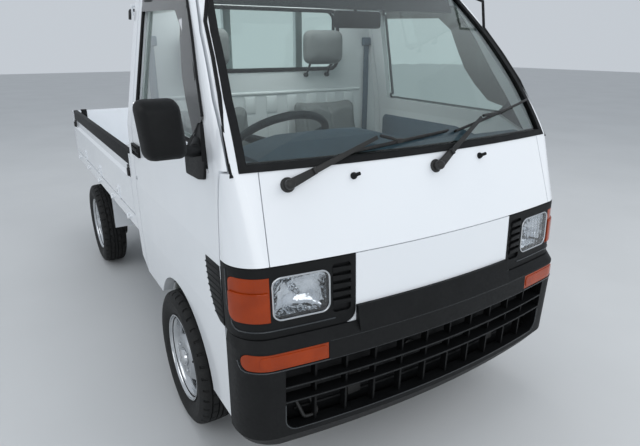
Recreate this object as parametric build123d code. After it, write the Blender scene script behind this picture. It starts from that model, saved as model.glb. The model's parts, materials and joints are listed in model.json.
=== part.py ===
from build123d import *
import math
import os

os.makedirs("parts", exist_ok=True)

# Small cab-over truck with a three-way drop-side bed.
# Millimetres. The front faces -Y, +Z is up, +X is the truck's left side.
# The pieces are drawn about the truck's own middle plane. They are stored with the origin on
# the ground, midway along the length and midway across the width over the door mirror.

# Overall layout
length = 3295
wheelbase = 1900
front_overhang = 690
front_track = 1290
rear_track = 1290
gap = 6.5                 # seam between pieces that move against each other
swing_gap = 9.5           # room between the dashboard and a swinging door
pillar_gap = 7.5          # door seam across the leaning pillar
seam = 3                  # seam between fixed panels
wall = 42                 # depth of a door, a pillar or a cab wall
sheet = 12                # pressed floor and wheel house plates
glass = 4

nose_y = -length / 2
tail_y = length / 2
front_axle_y = nose_y + front_overhang
rear_axle_y = front_axle_y + wheelbase

# Wheels
tyre_radius = 268
tyre_width = 145
rim_radius = 169
rim_width = 116
well_radius = 146
disc_slots = 6
window_radii = (98, 138)   # cut-outs of the wheel disc
window_low_half = 26
window_high_half = 42
hub_bore = 25
hub_clearance = 0.8
kingpin_x = 580           # lateral place of the steering axis
arch_radius = 310         # visible arch in the door
arch_shift = 22           # the visible arch sits this much behind the axle
house_radius = 325        # inside of the wheel house
house_inner_x = 365       # inboard wall of the wheel house

# Heights of the body's lines
skirt_z = 290
ledge_z = 640             # top of the bumper beside the lamps
lamp_top_z = 856
cowl_z = 1106             # base of the windscreen
screen_low_z = 1290
screen_mid_z = 1470
cant_z = 1650             # top of the doors and of the windscreen
roof_z = 1742

# Plan outline of the cab
bow_radius = 3730         # all front panels share this curve in plan
half_width = 694
cab_rear_y = -340
door_front_y = -1433
door_rear_y = -425
door_low_z = 430

# Columns: height, front line at the centre, half width, corner radius, rear line
lower_rows = [
    (skirt_z, -1583, half_width - 14, 100, cab_rear_y),
    (ledge_z, -1619, half_width - 2, 105, cab_rear_y),
    (lamp_top_z, -1611, half_width, 105, cab_rear_y),
    (cowl_z, -1526, half_width - 8, 62, cab_rear_y),
]
upper_rows = [
    (cowl_z, -1526, half_width - 8, 62, cab_rear_y),
    (screen_low_z, -1401, half_width - 40, 50, cab_rear_y - 3),
    (screen_mid_z, -1241, half_width - 72, 44, cab_rear_y - 6),
    (cant_z, -1048, half_width - 106, 40, cab_rear_y - 9),
]
roof_rows = [
    (cant_z, -1048, half_width - 106, 40, cab_rear_y - 9),
    (cant_z + 46, -985, half_width - 122, 55, cab_rear_y - 14),
    (roof_z - 14, -900, half_width - 162, 80, cab_rear_y - 36),
    (roof_z, -760, half_width - 260, 100, cab_rear_y - 110),
]

curved_rows = [upper_rows, roof_rows]   # these run through their rows in one curve

# Windscreen edge in front view: height, half width
screen_edge = [(cowl_z, 636), (screen_low_z, 619), (screen_mid_z, 588), (cant_z, 542)]
pillar_strip = 20         # painted pillar between the screen and the door
screen_top_drop = 4
seal_side = 22
seal_low = 20

# Front lamps and their surrounds, half widths in front view
garnish_x = 334
bezel_gap = 2
headlamp_in_x = 422
headlamp_out_x = 594
headlamp_low_z = 696
headlamp_high_z = 822
turn_low_z = 690
turn_high_z = 828
turn_rear_y = -1478
turn_round = 22
headlamp_round = 18
bezel_round = 38          # lower inner corner of the surround
louvre_in_x = 352         # recess for the louvres beside the headlamp
louvre_out_x = 412
louvre_low_z = 682
louvre_high_z = 836
louvre_depth = 9
corner_seam_low_x = 598
corner_seam_high_x = 584

# Bumper
bumper_low_z = 245
bumper_depth = 44
bumper_shelf_z = 612      # the bumper's top slopes back from here
bumper_shelf_run = 24
bumper_mid_top_z = 692
bumper_end_y = door_front_y - 20
grille_rows = [(327, 425), (432, 478), (485, 542)]   # open rows between the thin blades
grille_columns = 11
grille_half = 578
grille_corner = 38        # rounded lower ends of the lowest row
grille_rib = 7
grille_rib_set_back = 18
marker_low_z = 550
marker_high_z = 605
marker_in_x = 440
marker_rear_y = -1533
marker_round = 25

# Bed
bed_floor_z = 670
bed_floor_thick = 15
bed_rail_low_z = 609
bed_front_y = -295
bed_half = 690
gate_thick = 30
gate_top_z = 966
gate_shoulder_z = 848     # the outer face steps in above this
gate_step = 10
gate_hinge_drop = 4
guard_top_z = 1600
guard_tube = 36
guard_posts = [190, 560]

# Chassis
rail_inner_x = 290
rail_outer_x = 340
rail_depth = 90
front_rail_top_z = 440
rear_rail_top_z = 590

# Cabin
floor_top_z = 467
deck_top_z = 660
deck_front_y = -1180
toe_low_y = -1500         # the toe board runs up from here
toe_high_y = -1600
driver_seat_x = -345
passenger_seat_x = 255
seat_width = 430
seat_back_z = 1190
headrest_low_z = 1346
headrest_width = 205
headrest_tall = 155
wheel_tilt = 38           # steering wheel plane from the horizontal
steer_radius = 185
hood_top_z = 1166         # instrument hood
hood_right_x = -540
hood_left_x = 70
steer_grip = 15
steer_x = -262
steer_y = -975
steer_z = 1085


def outline(height, front, half, corner, rear):
    centre_y = front + bow_radius
    corner_y = centre_y - math.sqrt((bow_radius - corner) ** 2 - (half - corner) ** 2)
    grow = bow_radius / (bow_radius - corner)
    touch_x = (half - corner) * grow
    touch_y = centre_y + (corner_y - centre_y) * grow
    turn = math.atan2(touch_y - corner_y, touch_x - half + corner) / 2
    mid_x = half - corner + corner * math.cos(turn)
    mid_y = corner_y + corner * math.sin(turn)
    side = (half, corner_y, height)
    left = Line(side, (half, rear, height))
    back = Line((half, rear, height), (-half, rear, height))
    right = Line((-half, rear, height), (-half, corner_y, height))
    right_corner = ThreePointArc(
        (-half, corner_y, height), (-mid_x, mid_y, height), (-touch_x, touch_y, height)
    )
    front_arc = ThreePointArc(
        (-touch_x, touch_y, height), (0, front, height), (touch_x, touch_y, height)
    )
    left_corner = ThreePointArc((touch_x, touch_y, height), (mid_x, mid_y, height), side)
    return Wire([left, back, right, right_corner, front_arc, left_corner])


def loft_rows(rows, inset=0, drop=0):
    wires = [
        outline(z - drop, front + inset, half - inset, max(corner - inset, 12), rear - inset)
        for z, front, half, corner, rear in rows
    ]
    return Solid.make_loft(wires, rows not in curved_rows)


def box(x0, x1, y0, y1, z0, z1):
    return Solid.make_box(x1 - x0, y1 - y0, z1 - z0, Plane((x0, y0, z0)))


def side_prism(points, x0, x1):
    face = Face(Wire.make_polygon([(x0, y, z) for y, z in points]))
    return Solid.extrude(face, Vector(x1 - x0, 0, 0))


def front_prism(points, y0, y1):
    face = Face(Wire.make_polygon([(x, y0, z) for x, z in points]))
    return Solid.extrude(face, Vector(0, y1 - y0, 0))


def rod(start, end, radius):
    start = Vector(*start)
    run = Vector(*end) - start
    return Solid.make_cylinder(radius, run.length, Plane(start, z_dir=run))


def lateral_rod(x0, x1, y, z, radius):
    return rod((x0, y, z), (x1, y, z), radius)


def solids_of(shape):
    if isinstance(shape, (list, tuple)):
        return [s for item in shape for s in solids_of(item)]
    return list(shape.solids()) if shape else []


def mirrored(shape):
    return [s.mirror(Plane.YZ) for s in solids_of(shape)]


def both(shape):
    return solids_of(shape) + mirrored(shape)


def fuse(*shapes):
    pieces = [s for shape in shapes for s in solids_of(shape)]
    return pieces[0].fuse(*pieces[1:]) if len(pieces) > 1 else pieces[0]


def cut(shape, *tools):
    blades = [s for tool in tools for s in solids_of(tool)]
    return [s for piece in solids_of(shape) for s in solids_of(piece.cut(*blades))]


def common(shape, tool):
    return [
        s for piece in solids_of(shape) for blade in solids_of(tool)
        for s in solids_of(piece.intersect(blade))
    ]


def lean(z, edge):
    for (z0, x0), (z1, x1) in zip(edge, edge[1:]):
        if z <= z1 or (z1, x1) == edge[-1]:
            return x0 + (x1 - x0) * (z - z0) / (z1 - z0)


def screen_x(z):
    return lean(z, screen_edge)


def inner_x(z):
    edge = [(row[0], row[2] - wall) for row in lower_rows + upper_rows[1:]]
    return lean(z, edge)


far = 2400
nodes = {}


def shell(rows, outer, inner):
    return loft_rows(rows, outer).cut(loft_rows(rows, inner))


lower_shell = shell(lower_rows, 0, wall)
upper_shell = shell(upper_rows, 0, wall)


# Cab roof with the header above the windscreen
def cab_roof():
    skin = loft_rows(roof_rows)
    liner = loft_rows(roof_rows, wall, 28)
    return cut(skin, liner)


nodes["cab_roof"] = cab_roof()


# Rear wall of the cab with its window
rear_window_low_z = 1316
rear_window_high_z = 1594
rear_window_half = 386
rear_window_radius = 45
back_low_z = 560
back_ribs = 4
back_rib_pitch = 115
back_rib_top_z = 1104


def rounded_window(half, low, high, radius, y0, y1):
    sketch = Plane.XZ * RectangleRounded(2 * half, high - low, radius)
    solid = Solid.extrude(sketch.face(), Vector(0, y1 - y0, 0))
    return solid.moved(Location((0, y0, (low + high) / 2)))


def wall_between(shapes, low_z):
    heights = [low_z] + [row[0] for row in lower_rows + upper_rows[1:] if row[0] > low_z]
    left = [(inner_x(z), z) for z in heights]
    right = [(-x, z) for x, z in reversed(left)]
    block = front_prism(left + right, cab_rear_y - wall - 12, 0)
    return common(shapes, block)


def cab_back_wall():
    joined = fuse(wall_between(lower_shell, back_low_z), wall_between(upper_shell, back_low_z))
    opening = rounded_window(
        rear_window_half, rear_window_low_z, rear_window_high_z, rear_window_radius, -500, -300
    )
    ribs = []
    inner_y = cab_rear_y - wall
    for index in range(-back_ribs, back_ribs + 1):
        x = index * back_rib_pitch
        ribs.append(box(x - 24, x + 24, inner_y - 7, inner_y + 2, deck_top_z + 20, back_rib_top_z))
    return fuse(cut(joined, opening), ribs)


nodes["cab_back_wall"] = cab_back_wall()


def rear_glass():
    y = cab_rear_y - wall / 2
    return rounded_window(
        rear_window_half - 1, rear_window_low_z + 1, rear_window_high_z - 1,
        rear_window_radius - 1, y - glass, y,
    )


# Pillars: the windscreen pillar and the post behind the door, on each side
def bow(x):
    return bow_radius - math.sqrt(bow_radius ** 2 - x * x)


def pillar_zone(inner, outer, below=0):
    edge = [(cowl_z - below, screen_edge[0][1])] + screen_edge
    left = [(x + inner, z) for z, x in edge]
    right = [(x + outer, z) for z, x in reversed(edge)]
    band = front_prism(left + right, -far, 0)
    depth = wall + outer - pillar_strip
    line = [(row[1] + bow(screen_x(row[0])) + depth, row[0]) for row in upper_rows]
    rear = [(line[0][0], cowl_z - below)] + line
    front = [(-far, cant_z), (-far, cowl_z - below)]
    return common(band, side_prism(rear + front, 0, far))


def cab_side():
    strip = common(upper_shell, pillar_zone(seam / 2, pillar_strip))
    tail = side_prism(
        [(door_rear_y + gap, 440), (-317, 498), (-280, 600), (-280, cant_z), (door_rear_y + gap, cant_z)],
        0, far,
    )
    post = common(fuse(lower_shell, upper_shell), tail)
    heights = [row[0] for row in lower_rows + upper_rows[1:]]
    inside = [(inner_x(z) + seam / 2, z) for z in heights]
    middle = front_prism([(0, skirt_z)] + inside + [(0, cant_z + 10)], -far, 0)
    return strip + cut(post, middle)


nodes["cab_pillars"] = both(cab_side())


# Front panels
def seam_x(z):
    share = (z - lamp_top_z) / (cowl_z - lamp_top_z)
    return corner_seam_low_x + share * (corner_seam_high_x - corner_seam_low_x)


def front_panel():
    base = lamp_top_z + seam
    low = seam_x(lamp_top_z) - seam / 2
    high = seam_x(cowl_z) - seam / 2
    block = front_prism([(-low, base), (low, base), (high, cowl_z), (-high, cowl_z)], -far, -1300)
    return common(lower_shell, block)


def corner_panel():
    base = lamp_top_z + seam
    low = seam_x(lamp_top_z) + seam / 2
    high = seam_x(cowl_z) + seam / 2
    points = [(low, base), (far, base), (far, cowl_z), (high, cowl_z)]
    return common(lower_shell, front_prism(points, -far, door_front_y - gap))


def lamp_zone(grow=0):
    low = ledge_z + 1 - grow
    zone = box(garnish_x + bezel_gap - grow, far, -far, door_front_y - gap, low, lamp_top_z + grow)
    inner_low = zone.edges().filter_by(Axis.Y).sort_by(lambda edge: edge.center().X + edge.center().Z)
    return fillet(inner_low[:1], bezel_round)


def garnish():
    reach = garnish_x + bezel_round
    block = box(-reach, reach, -far, -1300, ledge_z, lamp_top_z)
    zone = lamp_zone(bezel_gap)
    return common(lower_shell, cut(block, zone, mirrored(zone)))


front_garnish = garnish()
nodes["front_panels"] = solids_of(front_panel()) + both(corner_panel()) + solids_of(front_garnish)


# Lamp surround: one black moulding a side, from the garnish round to the door
def headlamp_block(grow):
    block = box(
        headlamp_in_x - grow, headlamp_out_x + grow, -far, -1400,
        headlamp_low_z - grow, headlamp_high_z + grow,
    )
    return fillet(block.edges().filter_by(Axis.Y), headlamp_round)


def rear_rounded(block, radius):
    rear_face = block.faces().sort_by(Axis.Y)[-1]
    return fillet(rear_face.edges().filter_by(Axis.X), radius)


def turn_block(grow):
    block = box(
        headlamp_out_x + 8 - grow, far, -far, turn_rear_y + grow, turn_low_z - grow, turn_high_z + grow
    )
    return rear_rounded(block, turn_round)


def louvre_recess():
    block = box(louvre_in_x, louvre_out_x, -far, -1400, louvre_low_z, louvre_high_z)
    return cut(fillet(block.edges().filter_by(Axis.Y), 10), loft_rows(lower_rows, louvre_depth))


nodes["lamp_bezels"] = both(
    cut(common(lower_shell, lamp_zone()), headlamp_block(0), turn_block(0), louvre_recess())
)
nodes["headlamps"] = both(common(shell(lower_rows, 4, wall - 4), headlamp_block(-1)))
turn_lamp = common(shell(lower_rows, 0, wall - 4), turn_block(-1))


# Windscreen and its rubber surround
def screen_region(side_in, low_in, top_in):
    low = cowl_z + low_in
    high = cant_z - screen_top_drop - top_in
    rows = [low] + [z for z, x in screen_edge[1:-1]] + [high]
    left = [(screen_x(z) - side_in, z) for z in rows]
    return front_prism(left + [(-x, z) for x, z in reversed(left)], -far, -700)


windscreen = common(
    shell(upper_rows, 8, 8 + 2 * glass), screen_region(seal_side / 2, seal_low / 2, seal_side / 2)
)
nodes["cab_glass"] = solids_of(windscreen) + solids_of(rear_glass())
nodes["windscreen_seal"] = cut(
    common(shell(upper_rows, -3, 26), screen_region(0, 1, 0)),
    screen_region(seal_side, seal_low, seal_side),
    windscreen,
)


# Doors: front edge follows the pillar above the cowl and the corner panel below it
hinge_x = 690
hinge_y = -1475
sill_front = (-1228, 1158)
sail_tip = (-1380, 1092)
sail_top = (-1290, 1229)
glass_points = [
    (-500, 1165), sill_front, sail_top, (-1210, 1336), (-1135, 1448), (-1060, 1545),
    (-1010, 1590), (-500, 1594),
]
sail_points = [sill_front, sail_tip, sail_top]
window_points = glass_points[:2] + [sail_tip] + glass_points[2:]


def arch_block(radius, x0, x1, shift=arch_shift):
    return lateral_rod(x0, x1, front_axle_y + shift, tyre_radius, radius)


def door_region():
    top = cant_z - gap
    foot = cowl_z + gap
    upper = box(0, far, -far, door_rear_y, foot, top)
    lower = box(0, far, door_front_y, door_rear_y, skirt_z, foot)
    whole = fuse(upper, lower)
    return cut(whole, pillar_zone(-far, pillar_strip + pillar_gap, gap), box(0, 500, -far, 0, 0, foot + 40))


def door():
    below = box(0, far, front_axle_y + arch_shift, 0, 0, door_low_z)
    side = common(fuse(lower_shell, upper_shell), door_region())
    window = side_prism(window_points, 0, far)
    return cut(side, arch_block(arch_radius, 0, far), below, window)


def door_slice(outer, inner, points):
    skin = fuse(shell(lower_rows, outer, inner), shell(upper_rows, outer, inner))
    return common(common(skin, side_prism(points, 500, far)), door_region())


def door_glass():
    return door_slice(16, 16 + glass, glass_points)


mirror_y = -1385
mirror_mid_x = 812
mirror_mid_z = 1225
mirror_wide = 128
mirror_tall = 164
mirror_deep = 76


def door_sail():
    return cut(door_slice(-5, 24, sail_points), nodes["door_left"])


def door_mirror():
    arm = rod((664, -1290, 1158), (mirror_mid_x - 40, mirror_y, mirror_mid_z - 50), 12)
    case = Box(mirror_wide, mirror_deep, mirror_tall)
    case = fillet(case.edges().filter_by(Axis.Y), 26)
    case = chamfer(case.faces().sort_by(Axis.Y)[0].edges(), 16)
    case = case.moved(Location((mirror_mid_x, mirror_y, mirror_mid_z)))
    return fuse(door_sail(), arm, case)


nodes["door_left"] = door()
nodes["door_right"] = mirrored(nodes["door_left"])
nodes["door_glass_left"] = door_glass()
nodes["door_glass_right"] = mirrored(nodes["door_glass_left"])
# Door handle: pull bar in a shallow housing
handle_y = -505
handle_z = 1022


def door_handle():
    plate = box(
        half_width - 11, half_width + 3, handle_y - 50, handle_y + 50, handle_z - 16, handle_z + 16
    )
    return cut(plate, nodes["door_left"])


nodes["door_fittings_left"] = solids_of(door_sail()) + solids_of(door_handle())
nodes["door_fittings_right"] = mirrored(solids_of(door_mirror()) + solids_of(door_handle()))


# Bumper
bumper_rows = [
    (bumper_low_z, -1598, 668, 118, cab_rear_y),
    (bumper_low_z + 60, -1640, 697.5, 112, cab_rear_y),
    (bumper_shelf_z - 60, nose_y, 697.5, 105, cab_rear_y),
    (bumper_shelf_z, nose_y + 2, 697.5, 105, cab_rear_y),
    (ledge_z, nose_y + bumper_shelf_run, 692, 105, cab_rear_y),
]
bumper_mid_rows = [
    (bumper_shelf_z, nose_y + 2, 697.5, 105, cab_rear_y),
    (bumper_mid_top_z, nose_y + bumper_shelf_run - 4, 694, 105, cab_rear_y),
]


def grille_row(x0, x1, low, high, lowest):
    block = box(x0, x1, -far, -1400, low, high)
    if not lowest:
        return block
    return fillet(block.faces().sort_by(Axis.Z)[0].edges().filter_by(Axis.Y), grille_corner)


def grille_slots():
    pitch = 2 * grille_half / grille_columns
    behind = loft_rows(bumper_rows, grille_rib_set_back)
    slots = []
    for low, high in grille_rows:
        opening = grille_row(-grille_half, grille_half, low, high, low == grille_rows[0][0])
        slots += cut(opening, behind)
        for column in range(grille_columns):
            start = -grille_half + column * pitch + grille_rib / 2
            cell = box(start, start + pitch - grille_rib, -far, -1400, low, high)
            slots += common(opening, cell)
    return slots


def marker_block(grow):
    block = box(
        marker_in_x - grow, far, -far, marker_rear_y + grow, marker_low_z - grow, marker_high_z + grow
    )
    return rear_rounded(block, marker_round)


def bumper():
    main = shell(bumper_rows, 0, bumper_depth)
    main = cut(main, box(-far, far, bumper_end_y, 0, 0, far))
    lip = common(shell(bumper_mid_rows, 0, 24), box(-garnish_x, garnish_x, -far, -1300, 0, far))
    pocket = cut(marker_block(0), loft_rows(bumper_rows, 16))
    joined = fuse(main, cut(lip, front_garnish))
    return cut(joined, grille_slots(), pocket, mirrored(pocket))


nodes["bumper"] = bumper()
marker = common(shell(bumper_rows, 1, 15), marker_block(-1.5))
nodes["amber_lamps"] = both(turn_lamp) + both(marker)


# Chassis frame: two rails that step up behind the cab, and their crossmembers
cross_members = [-1500, -1285, -300, 420, 1180, 1560]


def frame_rail():
    low = front_rail_top_z - rail_depth
    high = rear_rail_top_z - rail_depth
    points = [
        (-1577, low), (-420, low), (-300, high), (1610, high), (1610, rear_rail_top_z),
        (-330, rear_rail_top_z), (-450, front_rail_top_z), (-1577, front_rail_top_z),
    ]
    return side_prism(points, rail_inner_x, rail_outer_x)


def rail_low_z(y):
    return front_rail_top_z - rail_depth if y < -400 else rear_rail_top_z - rail_depth


def chassis_frame():
    rails = both(frame_rail())
    crosses = []
    for y in cross_members:
        low = rail_low_z(y) + 15
        crosses.append(box(-rail_inner_x, rail_inner_x, y, y + 50, low, low + 60))
    bumper_fill = loft_rows(bumper_rows, bumper_depth)
    return fuse(common(rails, bumper_fill), crosses)


nodes["chassis_frame"] = chassis_frame()


# Cab floor: toe board, foot well, seat deck and the front wheel houses
def cab_floor():
    low = front_rail_top_z
    half = half_width - 14 - wall - gap
    thick = floor_top_z - low
    riser_y = deck_front_y + thick
    rear_y = cab_rear_y - wall
    profile = [
        (toe_high_y, ledge_z), (toe_low_y, low), (riser_y, low), (riser_y, deck_top_z - thick),
        (rear_y, deck_top_z - thick), (rear_y, deck_top_z), (deck_front_y, deck_top_z),
        (deck_front_y, floor_top_z), (toe_low_y + thick, floor_top_z), (toe_high_y + thick, ledge_z),
    ]
    pan = side_prism(profile, -half, half)
    inside = loft_rows(lower_rows, wall + seam)
    pan = common(pan, inside)
    tunnel = lateral_rod(house_inner_x, half, front_axle_y, tyre_radius, house_radius)
    outer = lateral_rod(house_inner_x - sheet, half, front_axle_y, tyre_radius, house_radius + sheet)
    house = common(outer.cut(tunnel), box(0, far, -far, 0, front_rail_top_z - 60, far))
    sill_low = door_low_z + 10
    sill = box(half - 50, half, front_axle_y + house_radius, rear_y, sill_low, deck_top_z - thick)
    step = box(half - 50, half, door_front_y, front_axle_y - house_radius, skirt_z + 20, low)
    pan = cut(pan, tunnel, mirrored(tunnel))
    extras = both(cut(fuse(house, sill, step), tunnel))
    return fuse(pan, extras)


nodes["cab_floor"] = cab_floor()


# Radiator, engine and drive line
nodes["radiator"] = box(-250, 250, cross_members[0] - 45, cross_members[0], 300, 425)
nodes["engine"] = fuse(
    box(-210, 210, -890, -470, 250, 600),
    rod((0, -480, 400), (0, -330, 400), 90),
    box(-rail_inner_x, rail_inner_x, -720, -660, 370, 420),
)


def rear_axle():
    beam = lateral_rod(-540, 540, rear_axle_y, tyre_radius, 36)
    carrier = rod((0, rear_axle_y - 75, tyre_radius), (0, rear_axle_y + 75, tyre_radius), 105)
    carrier = chamfer(carrier.edges(), 28)
    nose = rod((0, rear_axle_y - 60, tyre_radius), (0, rear_axle_y - 150, tyre_radius), 50)
    drums = both(lateral_rod(535, rear_track / 2 + 1, rear_axle_y, tyre_radius, 98))
    stub_end = rear_track / 2 + 22
    stubs = both(lateral_rod(520, stub_end, rear_axle_y, tyre_radius, hub_bore - hub_clearance))
    return fuse(beam, carrier, nose, drums, stubs)


spring_half = 520


def leaf_spring():
    x0, x1 = rail_inner_x, rail_outer_x
    rail_z = rear_rail_top_z - rail_depth
    eye_z = rail_z - 110
    low_z = tyre_radius + 42
    y0, y1 = rear_axle_y - spring_half, rear_axle_y + spring_half
    with BuildSketch(Plane.YZ) as profile:
        with BuildLine():
            ThreePointArc((y0, eye_z), (rear_axle_y, low_z), (y1, eye_z))
            Line((y1, eye_z), (y1, eye_z + 14))
            ThreePointArc((y1, eye_z + 14), (rear_axle_y, low_z + 28), (y0, eye_z + 14))
            Line((y0, eye_z + 14), (y0, eye_z))
        make_face()
    leaf = extrude(profile.sketch, x1 - x0).moved(Location((x0, 0, 0)))
    hangers = [box(x0 + 8, x1 - 8, y - 14, y + 14, eye_z + 2, rail_z) for y in (y0 + 15, y1 - 15)]
    saddle = box(x0, x1, rear_axle_y - 45, rear_axle_y + 45, tyre_radius + 20, low_z + 20)
    return fuse(leaf, hangers, saddle)


def propshaft():
    shaft = rod((0, -332, 400), (0, rear_axle_y - 149, tyre_radius), 30)
    return cut(shaft, nodes["engine"])


nodes["rear_axle"] = fuse(rear_axle(), both(leaf_spring()), propshaft())


def exhaust():
    x, z = 180, 400
    muffler = rod((x, 80, z), (x, 520, z), 75)
    with BuildPart() as pipe:
        with BuildLine() as path:
            FilletPolyline((x, 500, z), (x, 1180, z), (x + 60, 1500, z), radius=150)
        with BuildSketch(Plane((x, 500, z), z_dir=(0, 1, 0))):
            Circle(20)
        sweep(path=path.wire())
    hangers = [
        box(x - 15, x + 15, 140, 146, z + 60, rear_rail_top_z),
        box(x - 15, x + 15, 1100, 1106, z + 12, rear_rail_top_z),
    ]
    return fuse(muffler, pipe.part, hangers)


nodes["exhaust"] = exhaust()
tank = box(rail_outer_x, rail_outer_x + 250, -60, 360, 385, 585)
nodes["fuel_tank"] = fillet(tank.edges().filter_by(Axis.Y), 30)


# Front suspension that stays with the body: lower arms and struts
def front_suspension():
    hub_z = tyre_radius
    arm_points = [
        (rail_inner_x - 10, -34), (kingpin_x - 40, -14), (kingpin_x + 3, -11),
        (kingpin_x + 3, 11), (kingpin_x - 40, 14), (rail_inner_x - 10, 34),
    ]
    arm_z = hub_z - 100
    arm_face = Face(Wire.make_polygon([(x, front_axle_y + y, arm_z) for x, y in arm_points]))
    arm = Solid.extrude(arm_face, Vector(0, 0, 20))
    bracket = box(
        rail_inner_x - 10, rail_outer_x, front_axle_y - 40, front_axle_y + 40,
        arm_z, front_rail_top_z - rail_depth,
    )
    strut = rod((kingpin_x - 60, front_axle_y, hub_z + 110), (kingpin_x - 60, front_axle_y, deck_top_z), 20)
    strut = common(strut, lateral_rod(0, far, front_axle_y, hub_z, house_radius))
    return both(fuse(arm, bracket)) + both(strut)


nodes["front_suspension"] = front_suspension()


# Wheels
def tyre_profile():
    half = tyre_width / 2
    tread = half - 22
    bead = rim_width / 2 - 6.5
    wall_r = (rim_radius + tyre_radius) / 2 - 4
    top_r = tyre_radius - 3
    low_r = rim_radius + 1.5
    seat_r = well_radius + 8
    with BuildSketch(Plane.XZ) as profile:
        with BuildLine():
            Polyline((-bead, low_r), (-bead, seat_r), (bead, seat_r), (bead, low_r))
            ThreePointArc((bead, low_r), (half, wall_r), (tread, top_r))
            ThreePointArc((tread, top_r), (0, tyre_radius), (-tread, top_r))
            ThreePointArc((-tread, top_r), (-half, wall_r), (-bead, low_r))
        make_face()
    return profile.sketch


def tyre():
    return revolve(tyre_profile(), Axis.X)


def rim():
    half = rim_width / 2
    with BuildSketch(Plane.XZ) as profile:
        with BuildLine():
            Polyline(
                (-half, rim_radius), (-half + 5, rim_radius), (-half + 6, well_radius + 7),
                (half - 6, well_radius + 7), (half - 5, rim_radius), (half, rim_radius),
                (half, well_radius + 3), (34, well_radius - 2), (46, 104), (48, 60),
                (44, hub_bore + 10), (28, hub_bore + 10), (28, hub_bore), (6, hub_bore),
                (6, hub_bore + 24), (34, 66), (32, 100), (20, well_radius - 2),
                (-half, well_radius), (-half, rim_radius),
            )
        make_face()
    body = revolve(profile.sketch, Axis.X)
    low, high = window_radii
    points = [
        (-window_low_half, low), (window_low_half, low),
        (window_high_half, high), (-window_high_half, high),
    ]
    window = side_prism(points, -20, 100)
    window = fillet(window.edges().filter_by(Axis.X), 12)
    windows = [window.rotate(Axis.X, 360 / disc_slots * i) for i in range(disc_slots)]
    return body.cut(*windows)


wheel_tyre = tyre()
wheel_rim = rim()
wheel_table = [
    # name, side, lateral place, axle line
    ("front_left", 1, front_track / 2, front_axle_y),
    ("front_right", -1, front_track / 2, front_axle_y),
    ("rear_left", 1, rear_track / 2, rear_axle_y),
    ("rear_right", -1, rear_track / 2, rear_axle_y),
]
for name, side, x, y in wheel_table:
    place = Location((x, y, tyre_radius))
    tyre_there = wheel_tyre.moved(place)
    rim_there = wheel_rim.moved(place)
    nodes["tyre_" + name] = tyre_there if side > 0 else mirrored(tyre_there)
    nodes["rim_" + name] = rim_there if side > 0 else mirrored(rim_there)


# Steering knuckles: upright, brake disc and stub axle, turning about the kingpin
def knuckle():
    hub_z = tyre_radius
    x_disc = front_track / 2 - 42
    y = front_axle_y
    upright = rod((kingpin_x, y, hub_z - 70), (kingpin_x, y, hub_z + 92), 17)
    top_arm = box(kingpin_x - 76, kingpin_x + 10, y - 16, y + 16, hub_z + 76, hub_z + 100)
    disc = lateral_rod(x_disc, x_disc + 12, y, hub_z, 106)
    hub = lateral_rod(kingpin_x, front_track / 2 + 1, y, hub_z, 40)
    stub = lateral_rod(kingpin_x, front_track / 2 + 22, y, hub_z, hub_bore - hub_clearance)
    return fuse(upright, top_arm, disc, hub, stub)


nodes["knuckle_left"] = knuckle()
nodes["knuckle_right"] = mirrored(nodes["knuckle_left"])


# Cabin
def binnacle():
    section = [(-1430, 1080), (-1330, 1148), (-1268, hood_top_z), (-1205, 1152), (-1190, 1080)]
    hood = side_prism(section, hood_right_x, hood_left_x)
    centre_x = (hood_right_x + hood_left_x) / 2
    reach = 900
    crown = Solid.make_cylinder(
        reach, 400, Plane((centre_x, -1500, hood_top_z - reach), x_dir=(1, 0, 0), z_dir=(0, 1, 0))
    )
    return common(hood, crown)


def dashboard():
    points = [
        (-1560, 800), (-1560, 1084), (-1330, 1104), (-1210, 1060), (-1185, 965),
        (-1240, 900), (-1270, 790),
    ]
    half = half_width - 8 - wall - gap
    panel = common(side_prism(points, -half, half), loft_rows(lower_rows, wall + 0.5))
    beside_doors = box(-far, far, door_front_y - 2 * gap, 0, 0, far)
    panel = cut(panel, common(shell(lower_rows, wall - 1, wall + swing_gap), beside_doors))
    return fuse(panel, binnacle())


axis_up = Vector(0, math.sin(math.radians(wheel_tilt)), math.cos(math.radians(wheel_tilt)))
steer_centre = Vector(steer_x, steer_y, steer_z)


def along(distance):
    point = steer_centre - axis_up * distance
    return (point.X, point.Y, point.Z)


def steering_wheel():
    hub_plane = Plane(steer_centre, x_dir=(1, 0, 0), z_dir=axis_up)
    rim_ring = Solid.make_torus(steer_radius, steer_grip, hub_plane)
    pad = rod(along(45), along(5), 48)
    boss = rod(along(105), along(40), 24)
    spokes = []
    for angle in (-20, 200):
        turn = math.radians(angle)
        reach = Vector(steer_radius * math.cos(turn), steer_radius * math.sin(turn), 0)
        tip = hub_plane.from_local_coords(reach)
        spokes.append(rod(along(22), (tip.X, tip.Y, tip.Z), 9))
    return fuse(pad, boss, spokes, rim_ring)


nodes["steering_wheel"] = steering_wheel()
column = rod(along(111), along(900), 26)
column = common(column, box(-far, far, -far, far, floor_top_z, far))
nodes["dashboard"] = solids_of(dashboard()) + solids_of(cut(column, nodes["cab_floor"]))

seat_rows = [driver_seat_x, passenger_seat_x]


def cushion(x):
    pad = Box(seat_width, 470, 118).moved(Location((x, -850, deck_top_z + 59.5)))
    return fillet(pad.edges().filter_by(Axis.Z), 50)


def seat_back(x):
    low = deck_top_z + 0.5
    profile = [(-611, low), (-480, low), (-415, seat_back_z), (-505, seat_back_z)]
    slab = side_prism(profile, x - seat_width / 2, x + seat_width / 2)
    corners = slab.faces().sort_by(Axis.Z)[-1].edges().filter_by(Axis.Y)
    return fillet(corners, 60)


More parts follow.
